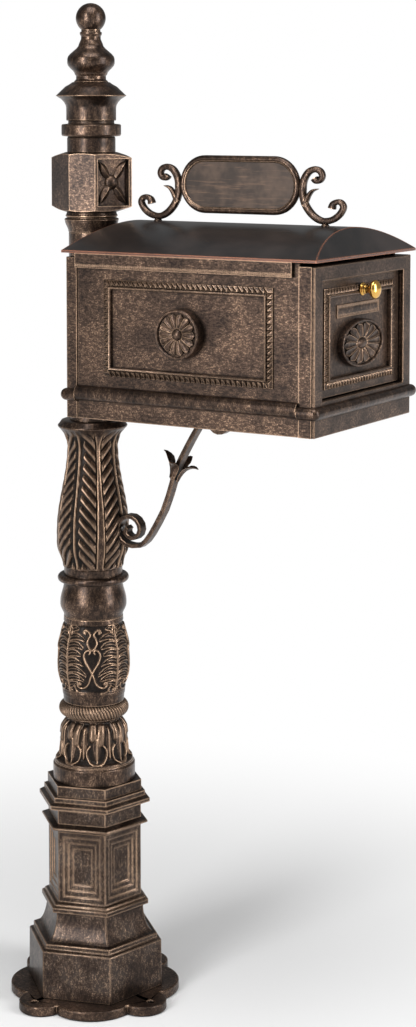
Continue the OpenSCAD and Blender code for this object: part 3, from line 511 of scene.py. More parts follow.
def round_line(a, b, steps=72):
    """A circle or an oval, and the inward direction at each point."""
    line, inward = [], []
    for i in range(steps):
        t = 2 * math.pi * i / steps
        line.append((a * math.cos(t), b * math.sin(t)))
        n = Vector((math.cos(t) / a, math.sin(t) / b)).normalized()
        inward.append((-n.x, -n.y))
    return line, inward


def dome(a, b, height, rings=6, around=32):
    """A low round or oval cap on the X-Y plane, with a flat underside."""
    points = [(0, 0, height), (0, 0, 0)]
    for k in range(1, rings + 1):
        t = k / rings * math.pi / 2
        for i in range(around):
            turn = 2 * math.pi * i / around
            points.append((a * math.sin(t) * math.cos(turn), b * math.sin(t) * math.sin(turn),
                           height * math.cos(t)))
    faces = []
    last = 2 + (rings - 1) * around
    for i in range(around):
        n = (i + 1) % around
        faces.append((0, 2 + i, 2 + n))
        faces.append((1, last + n, last + i))
        for k in range(rings - 1):
            a0, b0 = 2 + k * around, 2 + (k + 1) * around
            faces.append((a0 + i, b0 + i, b0 + n, a0 + n))
    return outward(mesh_of("dome", points, faces))


def blade(length, width, rise, along, across, outline, ridge, edge):
    """A leaf on the X-Y plane that grows along +Y, with a ridge down its middle and a flat underside.

    outline(t) is its share of the full width at t of its length, ridge bends the slopes beside the ridge,
    and edge is the height of its sides as a share of the ridge's.
    """
    top, bottom = [], []
    for j in range(along + 1):
        t = j / along
        half = max(width / 2 * outline(t), width * 0.015)
        for i in range(across + 1):
            s = i / across * 2 - 1
            slope = edge + (1 - edge) * (1 - abs(s)) ** ridge
            top.append((s * half, t * length, rise * slope * (0.55 + 0.45 * math.sin(math.pi * t) ** 0.6)))
            bottom.append((s * half, t * length, 0))
    row = across + 1
    base = len(top)
    faces = []
    for j in range(along):
        for i in range(across):
            a = j * row + i
            faces.append((a, a + 1, a + 1 + row, a + row))
            faces.append((base + a, base + a + row, base + a + 1 + row, base + a + 1))
    for i in range(across):
        faces.append((i, base + i, base + i + 1, i + 1))
        a = along * row + i
        faces.append((a, a + 1, base + a + 1, base + a))
    for j in range(along):
        a, b = j * row, j * row + across
        faces.append((a, a + row, base + a + row, base + a))
        faces.append((b, base + b, base + b + row, b + row))
    return outward(mesh_of("leaf", top + bottom, faces))


# ---------------------------------------------------------------- geometry nodes

def node_tree(name, sockets):
    """A geometry tree with named inputs, and a helper that adds its nodes."""
    tree = bpy.data.node_groups.new(name, "GeometryNodeTree")
    tree.interface.new_socket("Geometry", in_out="INPUT", socket_type="NodeSocketGeometry")
    for label, kind, default in sockets:
        socket = tree.interface.new_socket(label, in_out="INPUT", socket_type=kind)
        if default is not None:
            socket.default_value = default
    tree.interface.new_socket("Geometry", in_out="OUTPUT", socket_type="NodeSocketGeometry")

    def add(kind, settings=None, **links):
        made = tree.nodes.new(kind)
        for key, value in (settings or {}).items():
            setattr(made, key, value)
        for key, value in links.items():
            socket = made.inputs[key.replace("_", " ")]
            if isinstance(value, bpy.types.NodeSocket):
                tree.links.new(value, socket)
            else:
                socket.default_value = value
        return made

    return tree, add


def finish_tree(tree, add, inputs, points, rotation):
    """Ends a tree: instances with slightly uneven sizes, made real, with their material."""
    source = add("GeometryNodeObjectInfo", None, Object=inputs["Piece"])
    uneven = add("FunctionNodeRandomValue", {"data_type": "FLOAT"}, Seed=inputs["Seed"])
    low = add("ShaderNodeMath", {"operation": "SUBTRACT"})
    low.inputs[0].default_value = 1.0
    tree.links.new(inputs["Unevenness"], low.inputs[1])
    smallest, largest = (s for s in uneven.inputs if s.enabled and s.name in ("Min", "Max"))
    tree.links.new(low.outputs[0], smallest)
    largest.default_value = 1.0
    spread = next(s for s in uneven.outputs if s.enabled)
    scaled = add("ShaderNodeMath", {"operation": "MULTIPLY"})
    tree.links.new(spread, scaled.inputs[0])
    tree.links.new(inputs["Scale"], scaled.inputs[1])
    instances = add("GeometryNodeInstanceOnPoints", None, Points=points, Instance=source.outputs["Geometry"])
    if rotation is not None:
        tree.links.new(rotation, instances.inputs["Rotation"])
    tree.links.new(scaled.outputs[0], instances.inputs["Scale"])
    real = add("GeometryNodeRealizeInstances", None, Geometry=instances.outputs[0])
    painted = add("GeometryNodeSetMaterial", None, Geometry=real.outputs[0], Material=inputs["Material"])
    out = tree.nodes.new("NodeGroupOutput")
    tree.links.new(painted.outputs[0], out.inputs[0])
    return tree


COMMON = [
    ("Piece", "NodeSocketObject", None), ("Count", "NodeSocketInt", 8), ("Scale", "NodeSocketFloat", 1.0),
    ("Unevenness", "NodeSocketFloat", 0.0), ("Seed", "NodeSocketInt", 7),
    ("Material", "NodeSocketMaterial", None),
]


def row_tree():
    """Copies of a piece in a row along +X."""
    tree, add = node_tree("Ornament row", COMMON + [("Pitch", "NodeSocketFloat", 0.01)])
    inputs = tree.nodes.new("NodeGroupInput").outputs
    step = add("ShaderNodeCombineXYZ", None, X=inputs["Pitch"])
    line = add("GeometryNodeMeshLine", {"mode": "OFFSET"}, Count=inputs["Count"], Offset=step.outputs[0])
    return finish_tree(tree, add, inputs, line.outputs[0], None)


def ring_tree():
    """Copies of a piece around a circle, each growing outwards along its own +Y."""
    tree, add = node_tree("Ornament ring", COMMON + [("Radius", "NodeSocketFloat", 0.01)])
    inputs = tree.nodes.new("NodeGroupInput").outputs
    circle = add("GeometryNodeMeshCircle", None, Vertices=inputs["Count"], Radius=inputs["Radius"])
    step = add("ShaderNodeMath", {"operation": "DIVIDE"})
    step.inputs[0].default_value = 2 * math.pi
    tree.links.new(inputs["Count"], step.inputs[1])
    turn = add("ShaderNodeMath", {"operation": "MULTIPLY_ADD"})
    tree.links.new(add("GeometryNodeInputIndex").outputs[0], turn.inputs[0])
    tree.links.new(step.outputs[0], turn.inputs[1])
    turn.inputs[2].default_value = -math.pi / 2
    spin = add("ShaderNodeCombineXYZ", None, Z=turn.outputs[0])
    return finish_tree(tree, add, inputs, circle.outputs[0], spin.outputs[0])


trees = {}


def repeated(kind, source, material, **values):
    """Runs a tree on a source mesh and returns the result as a plain mesh."""
    if kind not in trees:
        trees[kind] = {"row": row_tree, "ring": ring_tree}[kind]()
    tree = trees[kind]
    helper = bpy.data.objects.new("source", source)
    carrier = bpy.data.objects.new("carrier", bpy.data.meshes.new("carrier"))
    bpy.context.scene.collection.objects.link(helper)
    bpy.context.scene.collection.objects.link(carrier)
    modifier = carrier.modifiers.new("Ornament", "NODES")
    modifier.node_group = tree
    wanted = {"Piece": helper, "Material": materials[material], **values}
    for item in tree.interface.items_tree:
        if item.item_type == "SOCKET" and item.in_out == "INPUT" and item.name in wanted:
            modifier[item.identifier] = wanted[item.name]
    bpy.context.view_layer.update()
    evaluated = carrier.evaluated_get(bpy.context.evaluated_depsgraph_get())
    mesh = bpy.data.meshes.new_from_object(evaluated)
    carrier.modifiers.remove(modifier)
    bpy.data.objects.remove(carrier)
    bpy.data.objects.remove(helper)
    return mesh


# ---------------------------------------------------------------- cast relief

SAME_HEIGHT = 0.011
RING_DEPTH = 0.6
FULL_RING = 20


def cad_radius(node):
    """The outer radius of a turned CAD node at any height, in millimetres.

    Only heights with a full ring of points count: at least FULL_RING points within RING_DEPTH of the widest.
    """
    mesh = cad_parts[node].data
    place = np.empty(len(mesh.vertices) * 3)
    mesh.vertices.foreach_get("co", place)
    place = place.reshape(-1, 3) / MM
    radius = np.hypot(place[:, 0], place[:, 1])
    heights, widest = [], []
    for z in np.unique(np.round(place[:, 2], 2)):
        ring = radius[np.abs(place[:, 2] - z) < SAME_HEIGHT]
        if np.sum(ring > ring.max() - RING_DEPTH) >= FULL_RING:
            heights.append(z)
            widest.append(ring.max())
    return lambda z: np.interp(z, heights, widest)


def step(low, high, value):
    """0 below low, 1 above high, smooth in between."""
    t = np.clip((value - low) / (high - low), 0, 1)
    return t * t * (3 - 2 * t)


def hump(distance, half):
    """A rounded ridge: 1 on its line, 0 past its half width."""
    return np.clip(1 - (distance / half) ** 2, 0, 1) ** 0.6


def to_lines(u, v, lines):
    """Distance from every (u, v) to the nearest of some polylines."""
    best = np.full(u.shape, 1e3)
    for line in lines:
        for (ax, ay), (bx, by) in zip(line, line[1:]):
            dx, dy = bx - ax, by - ay
            t = np.clip(((u - ax) * dx + (v - ay) * dy) / max(dx * dx + dy * dy, 1e-9), 0, 1)
            best = np.minimum(best, np.hypot(u - ax - t * dx, v - ay - t * dy))
    return best


def smooth_line(points, steps=6):
    """A Catmull-Rom line through points."""
    p = [points[0]] + list(points) + [points[-1]]
    line = []
    for i in range(1, len(p) - 2):
        for k in range(steps):
            t = k / steps
            line.append(tuple(
                0.5 * (2 * p[i][c] + (p[i + 1][c] - p[i - 1][c]) * t
                       + (2 * p[i - 1][c] - 5 * p[i][c] + 4 * p[i + 1][c] - p[i + 2][c]) * t * t
                       + (3 * p[i][c] - p[i - 1][c] - 3 * p[i + 1][c] + p[i + 2][c]) * t ** 3)
                for c in (0, 1)))
    line.append(points[-1])
    return line


def relief_band(node, pattern, period, heading, around, up):
    """A turned casting with relief, as a grid of points around and up its CAD node's outline.

    pattern(u, v, r, angle) gives height, gild and the painted shade of the recesses over one period, where u
    runs around and v up.
    """
    low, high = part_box(node)
    z0, z1 = low.z / MM, high.z / MM
    radius_at = cad_radius(node)
    z = np.linspace(z0, z1, up)
    turn = np.arange(around) * 360.0 / around
    local = (turn - heading + period / 2) % period - period / 2
    base = radius_at(z)
    angle, v = np.meshgrid(local, z - z0)
    r = np.meshgrid(turn, base)[1]
    u = np.radians(angle) * r
    height, gild, hollow = pattern(u, v, r, angle)
    height = np.minimum(height, 0)
    out = r + height
    theta = np.radians(np.meshgrid(turn, z)[0])
    zz = np.meshgrid(turn, z)[1]
    outer = np.stack([out * np.cos(theta), out * np.sin(theta), zz], -1)
    ring = np.stack([COLUMN_BORE * np.cos(theta[0]), COLUMN_BORE * np.sin(theta[0]), np.full(around, z0)], -1)
    top = ring.copy()
    top[:, 2] = z1
    points = np.concatenate([outer.reshape(-1, 3), top, ring]) * MM
    rows = up + 2
    index = np.arange(rows * around).reshape(rows, around)
    after = np.roll(index, -1, axis=1)
    above = np.roll(index, -1, axis=0)
    above_after = np.roll(above, -1, axis=1)
    faces = np.stack([index, after, above_after, above], -1).reshape(-1, 4)
    mesh = bpy.data.meshes.new(node)
    mesh.vertices.add(len(points))
    mesh.vertices.foreach_set("co", points.astype(np.float32).ravel())
    mesh.loops.add(faces.size)
    mesh.loops.foreach_set("vertex_index", faces.ravel().astype(np.int32))
    mesh.polygons.add(len(faces))
    mesh.polygons.foreach_set("loop_start", np.arange(0, faces.size, 4, dtype=np.int32))
    mesh.update(calc_edges=True)
    pad = np.zeros(2 * around)
    # Stores the rubbed metal and the painted shade of the recesses for every point; the bore's rings get none
    for label, data in (("gild", gild), ("hollow", hollow)):
        layer = mesh.attributes.new(label, "FLOAT", "POINT")
        layer.data.foreach_set("value", np.concatenate([np.clip(data, 0, 1).ravel(), pad]).astype(np.float32))
    mesh.validate()
    return mesh


def feather_pattern(height_mm, pitch):
    """A ribbed feather with slanting barbs, four times around."""
    def pattern(u, v, r, angle):
        s = np.abs(u)
        quarter = np.radians(45) * r
        t = v / height_mm
        body = step(0.045, 0.075, t) * (1 - step(0.88, 0.96, t))
        rib_half = 7.4 * (r / 62) * (1.0 - 0.34 * step(0.1, 0.75, t)) + 7 * step(0.84, 1.0, t)
        leaf_in = rib_half + 1.4
        leaf_out = quarter - 8.0
        phase = ((v - 1.05 * (s - leaf_in)) / pitch) % 1.0
        tooth = leaf_out - 4.5 * np.abs(phase - 0.45)
        in_leaf = step(0, 1.2, s - leaf_in) * (1 - step(-1.2, 0.5, s - tooth))
        open_share = step(0.0, 0.35, (s - leaf_in) / np.maximum(tooth - leaf_in, 1))
        slit = np.maximum(1 - step(0.10 + 0.16 * open_share, 0.18 + 0.18 * open_share, phase),
                          step(0.965, 1.0, phase))
        crest = hump(phase - 0.52, 0.34)
        groove = hump(phase - 0.78, 0.06)
        leaf = -2.4 + 2.2 * crest - 0.7 * groove - 3.0 * slit
        rib_edge = hump(s - rib_half + 1.2, 1.4)
        rib = -1.3 + 1.2 * rib_edge
        near_bead = hump(s - quarter, 2.6)
        gap = -4.6
        h = np.where(s < rib_half, rib, gap)
        h = np.where(in_leaf > 0.02, gap + (leaf - gap) * in_leaf, h)
        h = np.maximum(h, gap + (gap * -0.9) * near_bead * (s > quarter - 2.8))
        h = h * body - 0.2 * (1 - body)
        gild = (np.where(s < rib_half, 0.62 * rib_edge, 0)
                + np.where(in_leaf > 0.3, 0.42 * crest ** 3 + 0.3 * hump(phase - 0.30, 0.06), 0)
                * (slit < 0.3)
                + 0.7 * near_bead) * body
        # Painted shade in the slits between the barbs and in the deep gaps
        hollow = np.clip(slit * in_leaf + (h < -3.2), 0, 1) * 0.95 * body
        return h, gild, hollow

    return pattern


def palmette_pattern():
    """A lyre of scrolls between upright feathered leaves, four times around."""
    lyre = [
        smooth_line([(0, 62), (-3.4, 54), (-6, 45), (-11, 38), (-19, 34), (-26.5, 36.5), (-28, 42),
                     (-24.5, 44.5), (-22, 41)]),
        smooth_line([(0, 62), (-5, 71), (-12.5, 83), (-15.5, 94), (-12.5, 102), (-6.5, 105), (-3.5, 101.5),
                     (-5.5, 98.5)]),
        smooth_line([(0, 104.5), (-5.5, 109), (-9, 117), (-6.5, 125.5), (-3, 131), (-7, 137), (-13, 139.5),
                     (-16, 135.5), (-12.8, 133)]),
    ]
    tail = [smooth_line([(-36, 38), (-31, 29), (-23, 24.5), (-17, 23.5)])]
    band = [[(-60, 21), (-17, 21)]]

    def pattern(u, v, r, angle):
        s = -np.abs(u)
        quarter = np.radians(45) * r
        near = to_lines(s, v, lyre)
        tails = to_lines(s, v, tail)
        rail = to_lines(s, v, band)
        node_dot = np.minimum(np.hypot(s + 24.5, v - 41), np.hypot(s + 13, v - 135.5))
        node_dot = np.minimum(node_dot, np.hypot(s + 16.5, v - 23.5))
        scroll_h = hump(near, 2.1)
        dots = hump(node_dot, 2.6)
        from_vein = quarter - np.abs(u)
        inside = np.interp(v, [24, 36, 46, 56, 66, 76, 88, 100, 112, 124, 134, 146],
                           [40, 31, 15, 9.5, 10, 16, 21.5, 19, 13, 12.5, 19, 28])
        pitch = 14.5
        reach = quarter - inside - 0.5
        spread = np.clip(from_vein / np.maximum(reach, 1), 0, 1)
        phase = ((v - 0.62 * from_vein + 0.020 * from_vein ** 2) / pitch) % 1.0
        tip = reach - 7.0 * np.clip(np.abs(phase - 0.5) * 2, 0, 1) ** 2
        frond_area = (from_vein > 2.0) & (from_vein < tip) & (v > 28) & (v < 146)
        half = 0.40 * (1 - 0.75 * spread ** 3)
        line1 = hump(np.abs(phase - 0.5) - half, 0.11)
        core = hump(phase - 0.5, 0.09) * 0.55 * (spread < 0.7)
        frond = np.maximum(line1, core) * frond_area * step(0, 1.2, tip - from_vein)
        vein = hump(from_vein, 1.7) * (v > 26) * (v < 150)
        leaf_tip = (from_vein < 5.5 * (1 - step(136, 152, v))) & (v > 128)
        tip_h = hump(np.abs(from_vein - 4.6 * (1 - step(136, 151, v))), 1.1) * leaf_tip
        field = step(24, 30, v) * (1 - step(143, 150, v))
        ground = -3.6 * field
        raised = np.maximum.reduce([
            scroll_h * 3.5, frond * 2.5, vein * 3.1, tip_h * 2.8, dots * 3.5,
            hump(tails, 1.8) * 2.4, hump(rail, 1.1) * (v < 26)])
        h = ground + raised * np.maximum(field, (v < 40) * 1.0)
        h = np.minimum(h, np.where(field < 0.5, 0.9 * hump(rail, 1.1) - 0.9, 0.0))
        gild = np.clip(raised / 3.4, 0, 1) ** 2.0 * 0.85
        # Painted shade on the sunken ground between the raised scrolls and leaves
        hollow = (1 - step(0.2, 1.6, raised)) * (field > 0.5) * 0.92
        return h, gild, hollow

    return pattern


def acanthus_pattern():
    """Drooping lobes over wide U-shaped tendrils and pointed leaves, eight times around."""
    loop = smooth_line([(-13, 38), (-18.5, 31), (-19, 20), (-13, 9), (0, 4.5), (13, 9), (19, 20), (18.5, 31),
                        (13, 38)])
    spike = [(0, 7), (0, 50)]

    def pattern(u, v, r, angle):
        quarter = np.radians(22.5) * r
        s = np.abs(u)
        tendril = hump(to_lines(u, v, [loop]), 1.8)
        rib = hump(to_lines(u, v, [spike]), 1.2)
        leaf_w = np.interp(v, [7, 16, 34, 56], [0.4, 5.5, 9.5, 8.0])
        inner_leaf = hump(np.minimum(s / leaf_w, 1.2), 1.0) * step(7, 13, v) * (1 - step(54, 64, v))
        lobe_at = np.abs(u - 8.5 - (v - 60) * 0.10)
        lobe_foot = 31 + 0.10 * lobe_at ** 2
        lobe = np.clip(1 - (lobe_at / 7.6) ** 2, 0, 1) ** 0.5 * step(0, 10, v - lobe_foot) \
            * (1 - step(73, 80, v))
        centre_at = np.abs(u + 7.5 - (v - 60) * 0.06)
        centre_foot = 41 + 0.12 * centre_at ** 2
        centre_lobe = np.clip(1 - (centre_at / 7.0) ** 2, 0, 1) ** 0.5 * step(0, 9, v - centre_foot) \
            * (1 - step(74, 80, v))
        rim = np.maximum(hump(lobe_at - 5.6, 1.1) * step(2, 8, v - lobe_foot),
                         hump(centre_at - 5.2, 1.0) * step(2, 8, v - centre_foot)) * (1 - step(66, 76, v))
        tip_w = np.interp(v, [10, 20, 40, 66], [0.3, 4.0, 7.5, 6.0])
        from_side = quarter - s
        tip = hump(np.minimum(from_side / tip_w, 1.2), 1.0) * step(10, 16, v) * (1 - step(66, 76, v))
        tip_rib = hump(from_side, 1.1) * step(12, 18, v) * (1 - step(66, 74, v))
        area = step(3, 6, v) * (1 - step(76, 81, v))
        raised = np.maximum.reduce([
            tendril * 4.8, inner_leaf * 2.3 + rib * 1.4, lobe * 4.8, centre_lobe * 5.2,
            tip * 2.9 + tip_rib * 1.3])
        h = (raised - 5.4) * area
        gild = np.maximum.reduce([tendril * 0.95, rib * 0.7, rim * 0.75, tip_rib * 0.75, lobe ** 4 * 0.35,
                                  centre_lobe ** 4 * 0.4])
        # Painted shade on the sunken ground between the lobes, tendrils and leaves
        hollow = (1 - step(0.4, 2.0, raised)) * 0.93 * area
        return h, gild * area, hollow

    return pattern


def rope_pattern(height_mm, strands):
    """Diagonal strands around the rope ring."""
    def pattern(u, v, r, angle):
        across = (v / height_mm - 0.5) * 2
        lie = np.arcsin(np.clip(across, -0.999, 0.999)) / (math.pi / 2)
        phase = (angle * strands / 360.0 + lie * 1.4) % 1.0
        strand = np.abs(np.sin(np.pi * phase)) ** 0.8
        fade = 1 - step(0.90, 0.99, np.abs(across))
        h = (strand - 1) * 2.1 * fade
        gild = strand ** 4 * 0.55 * fade
        # Painted shade in the grooves between the strands
        hollow = (1 - step(0.15, 0.60, strand)) * 0.92 * fade
        return h, gild, hollow

    return pattern


# ---------------------------------------------------------------- ornaments

def leaf_frame(width, height, member, proud, pitch, lean=0.0):
    """A rectangular moulding on the X-Y plane: leaves outside, a plain rounded bead inside."""
    line, inward = rectangle(width, height)
    m, p = member, proud
    section = [
        (0, 0), (0, 0.30 * p), (0.03 * m, 0.36 * p), (0.58 * m, 0.46 * p), (0.62 * m, 0.40 * p),
        (0.66 * m, 0.72 * p), (0.71 * m, 0.92 * p), (0.80 * m, p), (0.89 * m, 0.93 * p), (0.95 * m, 0.76 * p),
        (m, 0.60 * p), (m, 0),
    ]
    parts = [swept("moulding", line, inward, section)]
    sides = ((0, width, height), (90, height, width), (180, width, height), (270, height, width))
    for turn, run, across in sides:
        count = max(2, round((run - member) / pitch))
        real = (run - member * 0.9) / count
        tooth = blade(0.60 * m, real * 0.98, 0.56 * p, 5, 4, lambda t: 1 - t * 0.97, ridge=1.0, edge=0.12)
        if lean:
            tooth.transform(sheared(lean))
        row = repeated("row", tooth, "bronze_bright", Count=count, Pitch=real, Unevenness=0.04, Seed=11)
        place = (
            Matrix.Rotation(math.radians(turn), 4, "Z")
            @ Matrix.Translation((-(count - 1) * real / 2, -across / 2 + 0.60 * m, 0.38 * p))
            @ Matrix.Scale(-1, 4, (0, 1, 0))
        )
        parts.append(moved(row, place))
    return joined("leaf_frame", parts)


def sheared(lean):
    """Slides a leaf's tip sideways by a share of its length."""
    tilt = Matrix.Identity(4)
    tilt[0][1] = lean
    return tilt


def petal_outline(t):
    """Widens from its root, and ends in a round tip over its last quarter."""
    tip = math.sqrt(max(0.0, 1 - ((t - 0.74) / 0.26) ** 2)) if t > 0.74 else 1.0
    return (0.30 + 0.70 * t) * tip


def rosette(a, b, height, petals, rim):
    """A round or oval boss: rim, dish, petals and centre button."""
    line, inward = round_line(a, b)
    top = height
    section = [
        (0, 0), (0, top - rim * 0.42), (rim * 0.10, top - rim * 0.20), (rim * 0.34, top - rim * 0.03),
        (rim * 0.5, top), (rim * 0.68, top - rim * 0.03), (rim * 0.9, top - rim * 0.22),
        (rim, top - rim * 0.5), (rim * 1.02, top - rim * 0.95), (rim * 1.5, top - rim * 1.0),
    ]
    small = min(a, b)
    floor_h = top - rim * 1.05
    section += [(small * 0.72, floor_h - rim * 0.1), (small * 0.75, 0)]
    boss = swept("boss", line, inward, section)
    steps = 48
    plate_line, _ = round_line(a - small * 0.70, b - small * 0.70, steps)
    plug = outward(mesh_of(
        "dish",
        [(x, y, floor_h - rim * 0.1) for x, y in plate_line] + [(x, y, 0) for x, y in plate_line],
        [tuple(range(steps)), tuple(range(2 * steps - 1, steps - 1, -1))]
        + [(i, steps + i, steps + (i + 1) % steps, (i + 1) % steps) for i in range(steps)],
    ))
    inner = small - rim * 1.25
    root = inner * 0.27
    length = inner - root
    wide = 2 * math.pi * inner / petals * 0.86
    petal = blade(length, wide, rim * 0.72, 7, 6, petal_outline, ridge=0.5, edge=1.5)
    ring = repeated("ring", petal, "bronze_bright", Count=petals, Radius=root, Unevenness=0.02, Seed=5)
    ring.transform(Matrix.Translation((0, 0, floor_h - rim * 0.12)))
    button = dome(small * 0.22, small * 0.22, rim * 1.4)
    collar_line, collar_in = round_line(small * 0.26, small * 0.26, 40)
    collar = swept("collar", collar_line, collar_in,
                   [(0, 0), (0, rim * 0.5), (rim * 0.12, rim * 0.62), (rim * 0.3, rim * 0.5), (rim * 0.3, 0)])
    for mesh in (button, collar):
        mesh.transform(Matrix.Translation((0, 0, floor_h - rim * 0.12)))
    oval = Matrix.Diagonal(((a - rim) / (small - rim), (b - rim) / (small - rim), 1, 1))
    for mesh in (ring, button, collar):
        mesh.transform(oval)
    return joined("rosette", [boss, plug, ring, button, collar])


# The plaque's scrolls as (y, z) points in millimetres. y starts just past the end of the rim. z starts at the
# plaque's middle height for the upper hook, and at the roof's ridge for the lower hook and its horn leaf.
UPPER_HOOK = (
    (22.5, 14), (26, 9.5), (33, 10.5), (37, 17.5), (33.5, 25.5), (24, 29), (13, 25.5), (5.5, 17), (1, 6),
    (0, -6), (0, -14),
)
LOWER_HOOK = (
    (3.5, 39), (11, 26.5), (23, 15), (38, 8.5), (55, 10.5), (69, 19), (77, 31), (74.5, 38.5), (67.5, 41.5),
    (58.5, 38), (55.5, 30),
)
HORN = ((2, 34), (7, 43), (12, 52), (19, 59), (28, 62))


def ball_end(f):
    """1 at both ends of a strap, 0 away from them."""
    return math.exp(-(f / 0.045) ** 2) + math.exp(-((1 - f) / 0.045) ** 2)


def tube_faces(count, sides):
    """Faces of a closed tube of count sections with as many sides each."""
    last = (count - 1) * sides
    faces = [tuple(range(sides)), tuple(range(last + sides - 1, last - 1, -1))]
    for i in range(0, last, sides):
        for k in range(sides):
            n = (k + 1) % sides
            faces.append((i + k, i + n, i + sides + n, i + sides + k))
    return faces


def strap(line, size_at, half):
    """A forged strap along a line of (y, z) points in millimetres, with rounded edges and a raised middle."""
    line = [Vector(p) for p in line]
    count = len(line)
    sides = 12
    section = [(math.cos(2 * math.pi * k / sides), math.sin(2 * math.pi * k / sides)) for k in range(sides)]
    points = []
    for i, at in enumerate(line):
        way = (line[min(i + 1, count - 1)] - line[max(i - 1, 0)]).normalized()
        away = Vector((-way.y, way.x))
        thick = size_at(i / (count - 1))
        for c, d in section:
            wide = math.copysign(abs(c) ** 0.45, c) * half
            deep = math.copysign(abs(d) ** 0.6, d) * thick
            points.append((wide * MM, (at.x + away.x * deep) * MM, (at.y + away.y * deep) * MM))
    return outward(mesh_of("strap", points, tube_faces(count, sides)))


def sepal(turn, width):
    """One pointed sepal of the calyx: it hugs the strap, then flares outwards to its tip."""
    # Each station: out from the strap's middle, along the strap, share of the full width, thickness
    stations = (
        (0.0075, -0.024, 0.50, 0.0028), (0.0085, -0.014, 0.68, 0.0034), (0.0105, -0.005, 0.92, 0.0040),
        (0.0145, 0.004, 1.18, 0.0044), (0.0205, 0.0105, 1.22, 0.0042), (0.0265, 0.0140, 0.90, 0.0036),
        (0.0325, 0.0155, 0.48, 0.0028), (0.0385, 0.0150, 0.05, 0.0010),
    )
    section = ((-1.0, 0.15), (-0.5, 0.55), (0.0, 1.0), (0.5, 0.55), (1.0, 0.15), (0.5, -0.45), (0.0, -0.25),
               (-0.5, -0.45))
    points = []
    for i, (out, up, share_of_width, thick) in enumerate(stations):
        before, after = stations[max(i - 1, 0)], stations[min(i + 1, len(stations) - 1)]
        way = Vector((after[0] - before[0], after[1] - before[1])).normalized()
        away = Vector((way.y, -way.x))
        half = width / 2 * share_of_width
        for across, lift in section:
            points.append((across * half, out + away.x * lift * thick, up + away.y * lift * thick))
    mesh = outward(mesh_of("sepal", points, tube_faces(len(stations), len(section))))
    mesh.transform(Matrix.Rotation(math.radians(turn), 4, "Z"))
    return mesh


# Turns what is drawn on the X-Y plane, facing +Z, to face out of the front or a side of the box
FACING = {
    "front": Matrix.Rotation(math.radians(90), 4, "X"),
    "left": Matrix.Rotation(math.radians(-90), 4, "Z") @ Matrix.Rotation(math.radians(90), 4, "X"),
    "right": Matrix.Rotation(math.radians(90), 4, "Z") @ Matrix.Rotation(math.radians(90), 4, "X"),
}


def extent(node):
    """Size of a node's box along X, Y and Z."""
    low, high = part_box(node)
    return high - low


def seat(node, side, proud):
    """Where a piece drawn on the X-Y plane goes: in the middle of its node's box, proud of its seat."""
    low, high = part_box(node)
    place = (low + high) / 2
    if side == "front":
        place.y = low.y + proud
    elif side == "left":
        place.x = low.x + proud
    else:
        place.x = high.x - proud
    return Matrix.Translation(place) @ FACING[side]


# ---------------------------------------------------------------- operators

class MailboxOperator:
    """What the operators that build pieces share."""
    bl_options = {"REGISTER", "UNDO"}

    def execute(self, context):
        """Builds the operator's pieces."""
        self.build(context.scene.mailbox_finish, context.scene.mailbox_relief)
        return {"FINISHED"}


class MAILBOX_OT_finishes(MailboxOperator, bpy.types.Operator):
    """Makes every material"""
    bl_idname = "mailbox.finishes"
    bl_label = "Finishes"

    def build(self, look, relief):
        bronze(look, "bronze", streaks=(1.0, 0.45, 1.0), bright=1.0, fine=1.9)
        bronze(look, "bronze_streaked", streaks=(1.0, 1.0, 0.55), grey=0.4, bright=0.62, edge_reach=0.0042,
               gloss=0.06, fine=1.5)
        bronze(look, "bronze_bright", bright=1.2, edge_reach=0.0014)
        bronze(look, "bronze_turned", streaks=(1.0, 1.0, 0.45), bright=1.0, gloss=0.10)
        roof_metal(look)
        plaque_metal(look)
        bright_metal("knob_brass", look.brass, 0.13, (0.50, 0.24, 0.05), 0.5)
        bright_metal("plain_steel", look.steel, 0.32, (0.20, 0.17, 0.15), 0.6)
        bright_metal("catch_black", (0.045, 0.045, 0.048), 0.42, (0.02, 0.02, 0.02), 0.6)
        flag_paint(look)


class MAILBOX_OT_pedestal(MailboxOperator, bpy.types.Operator):
    """Base plate, plinth, die and cornice"""
    bl_idname = "mailbox.pedestal"
    bl_label = "Pedestal"

    def build(self, look, relief):
        cast_piece("base_plate", "bronze", round_edges=0.0075, segments=5)
        for node in ("plinth", "die", "cornice"):
            cast_piece(node, "bronze_streaked", round_edges=0.0014)


class MAILBOX_OT_column(MailboxOperator, bpy.types.Operator):
    """Stacked castings of the column, with their relief"""
    bl_idname = "mailbox.column"
    bl_label = "Column"

    def build(self, look, relief):
        def tall(node):
            low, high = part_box(node)
            return (high.z - low.z) / MM

        feather = feather_pattern(tall("feather_column"), relief.feather_pitch / MM)
        rope = rope_pattern(tall("rope_ring"), relief.rope_strands)
        # Each band: its node, pattern, period and heading in degrees, and points around and up
        bands = (
            ("acanthus_band", acanthus_pattern(), 45, 219.0, 640, 84),
            ("rope_ring", rope, 360, 0.0, 864, 34),
            ("palmette_column", palmette_pattern(), 90, 211.5, 560, 150),
            ("feather_column", feather, 90, 227.0, 400, 230),
        )
        for node, *shape in bands:
            piece(node + "_relief", relief_band(node, *shape), "bronze_turned", [node], smooth=70)
        for node in ("drum_collar", "bell_collar", "plain_ring", "neck_post", "neck_ring", "spool_ring",
                     "finial_cup", "finial_onion", "finial_ball"):
            cast_piece(node, "bronze_turned", round_edges=0.0010, smooth=28)


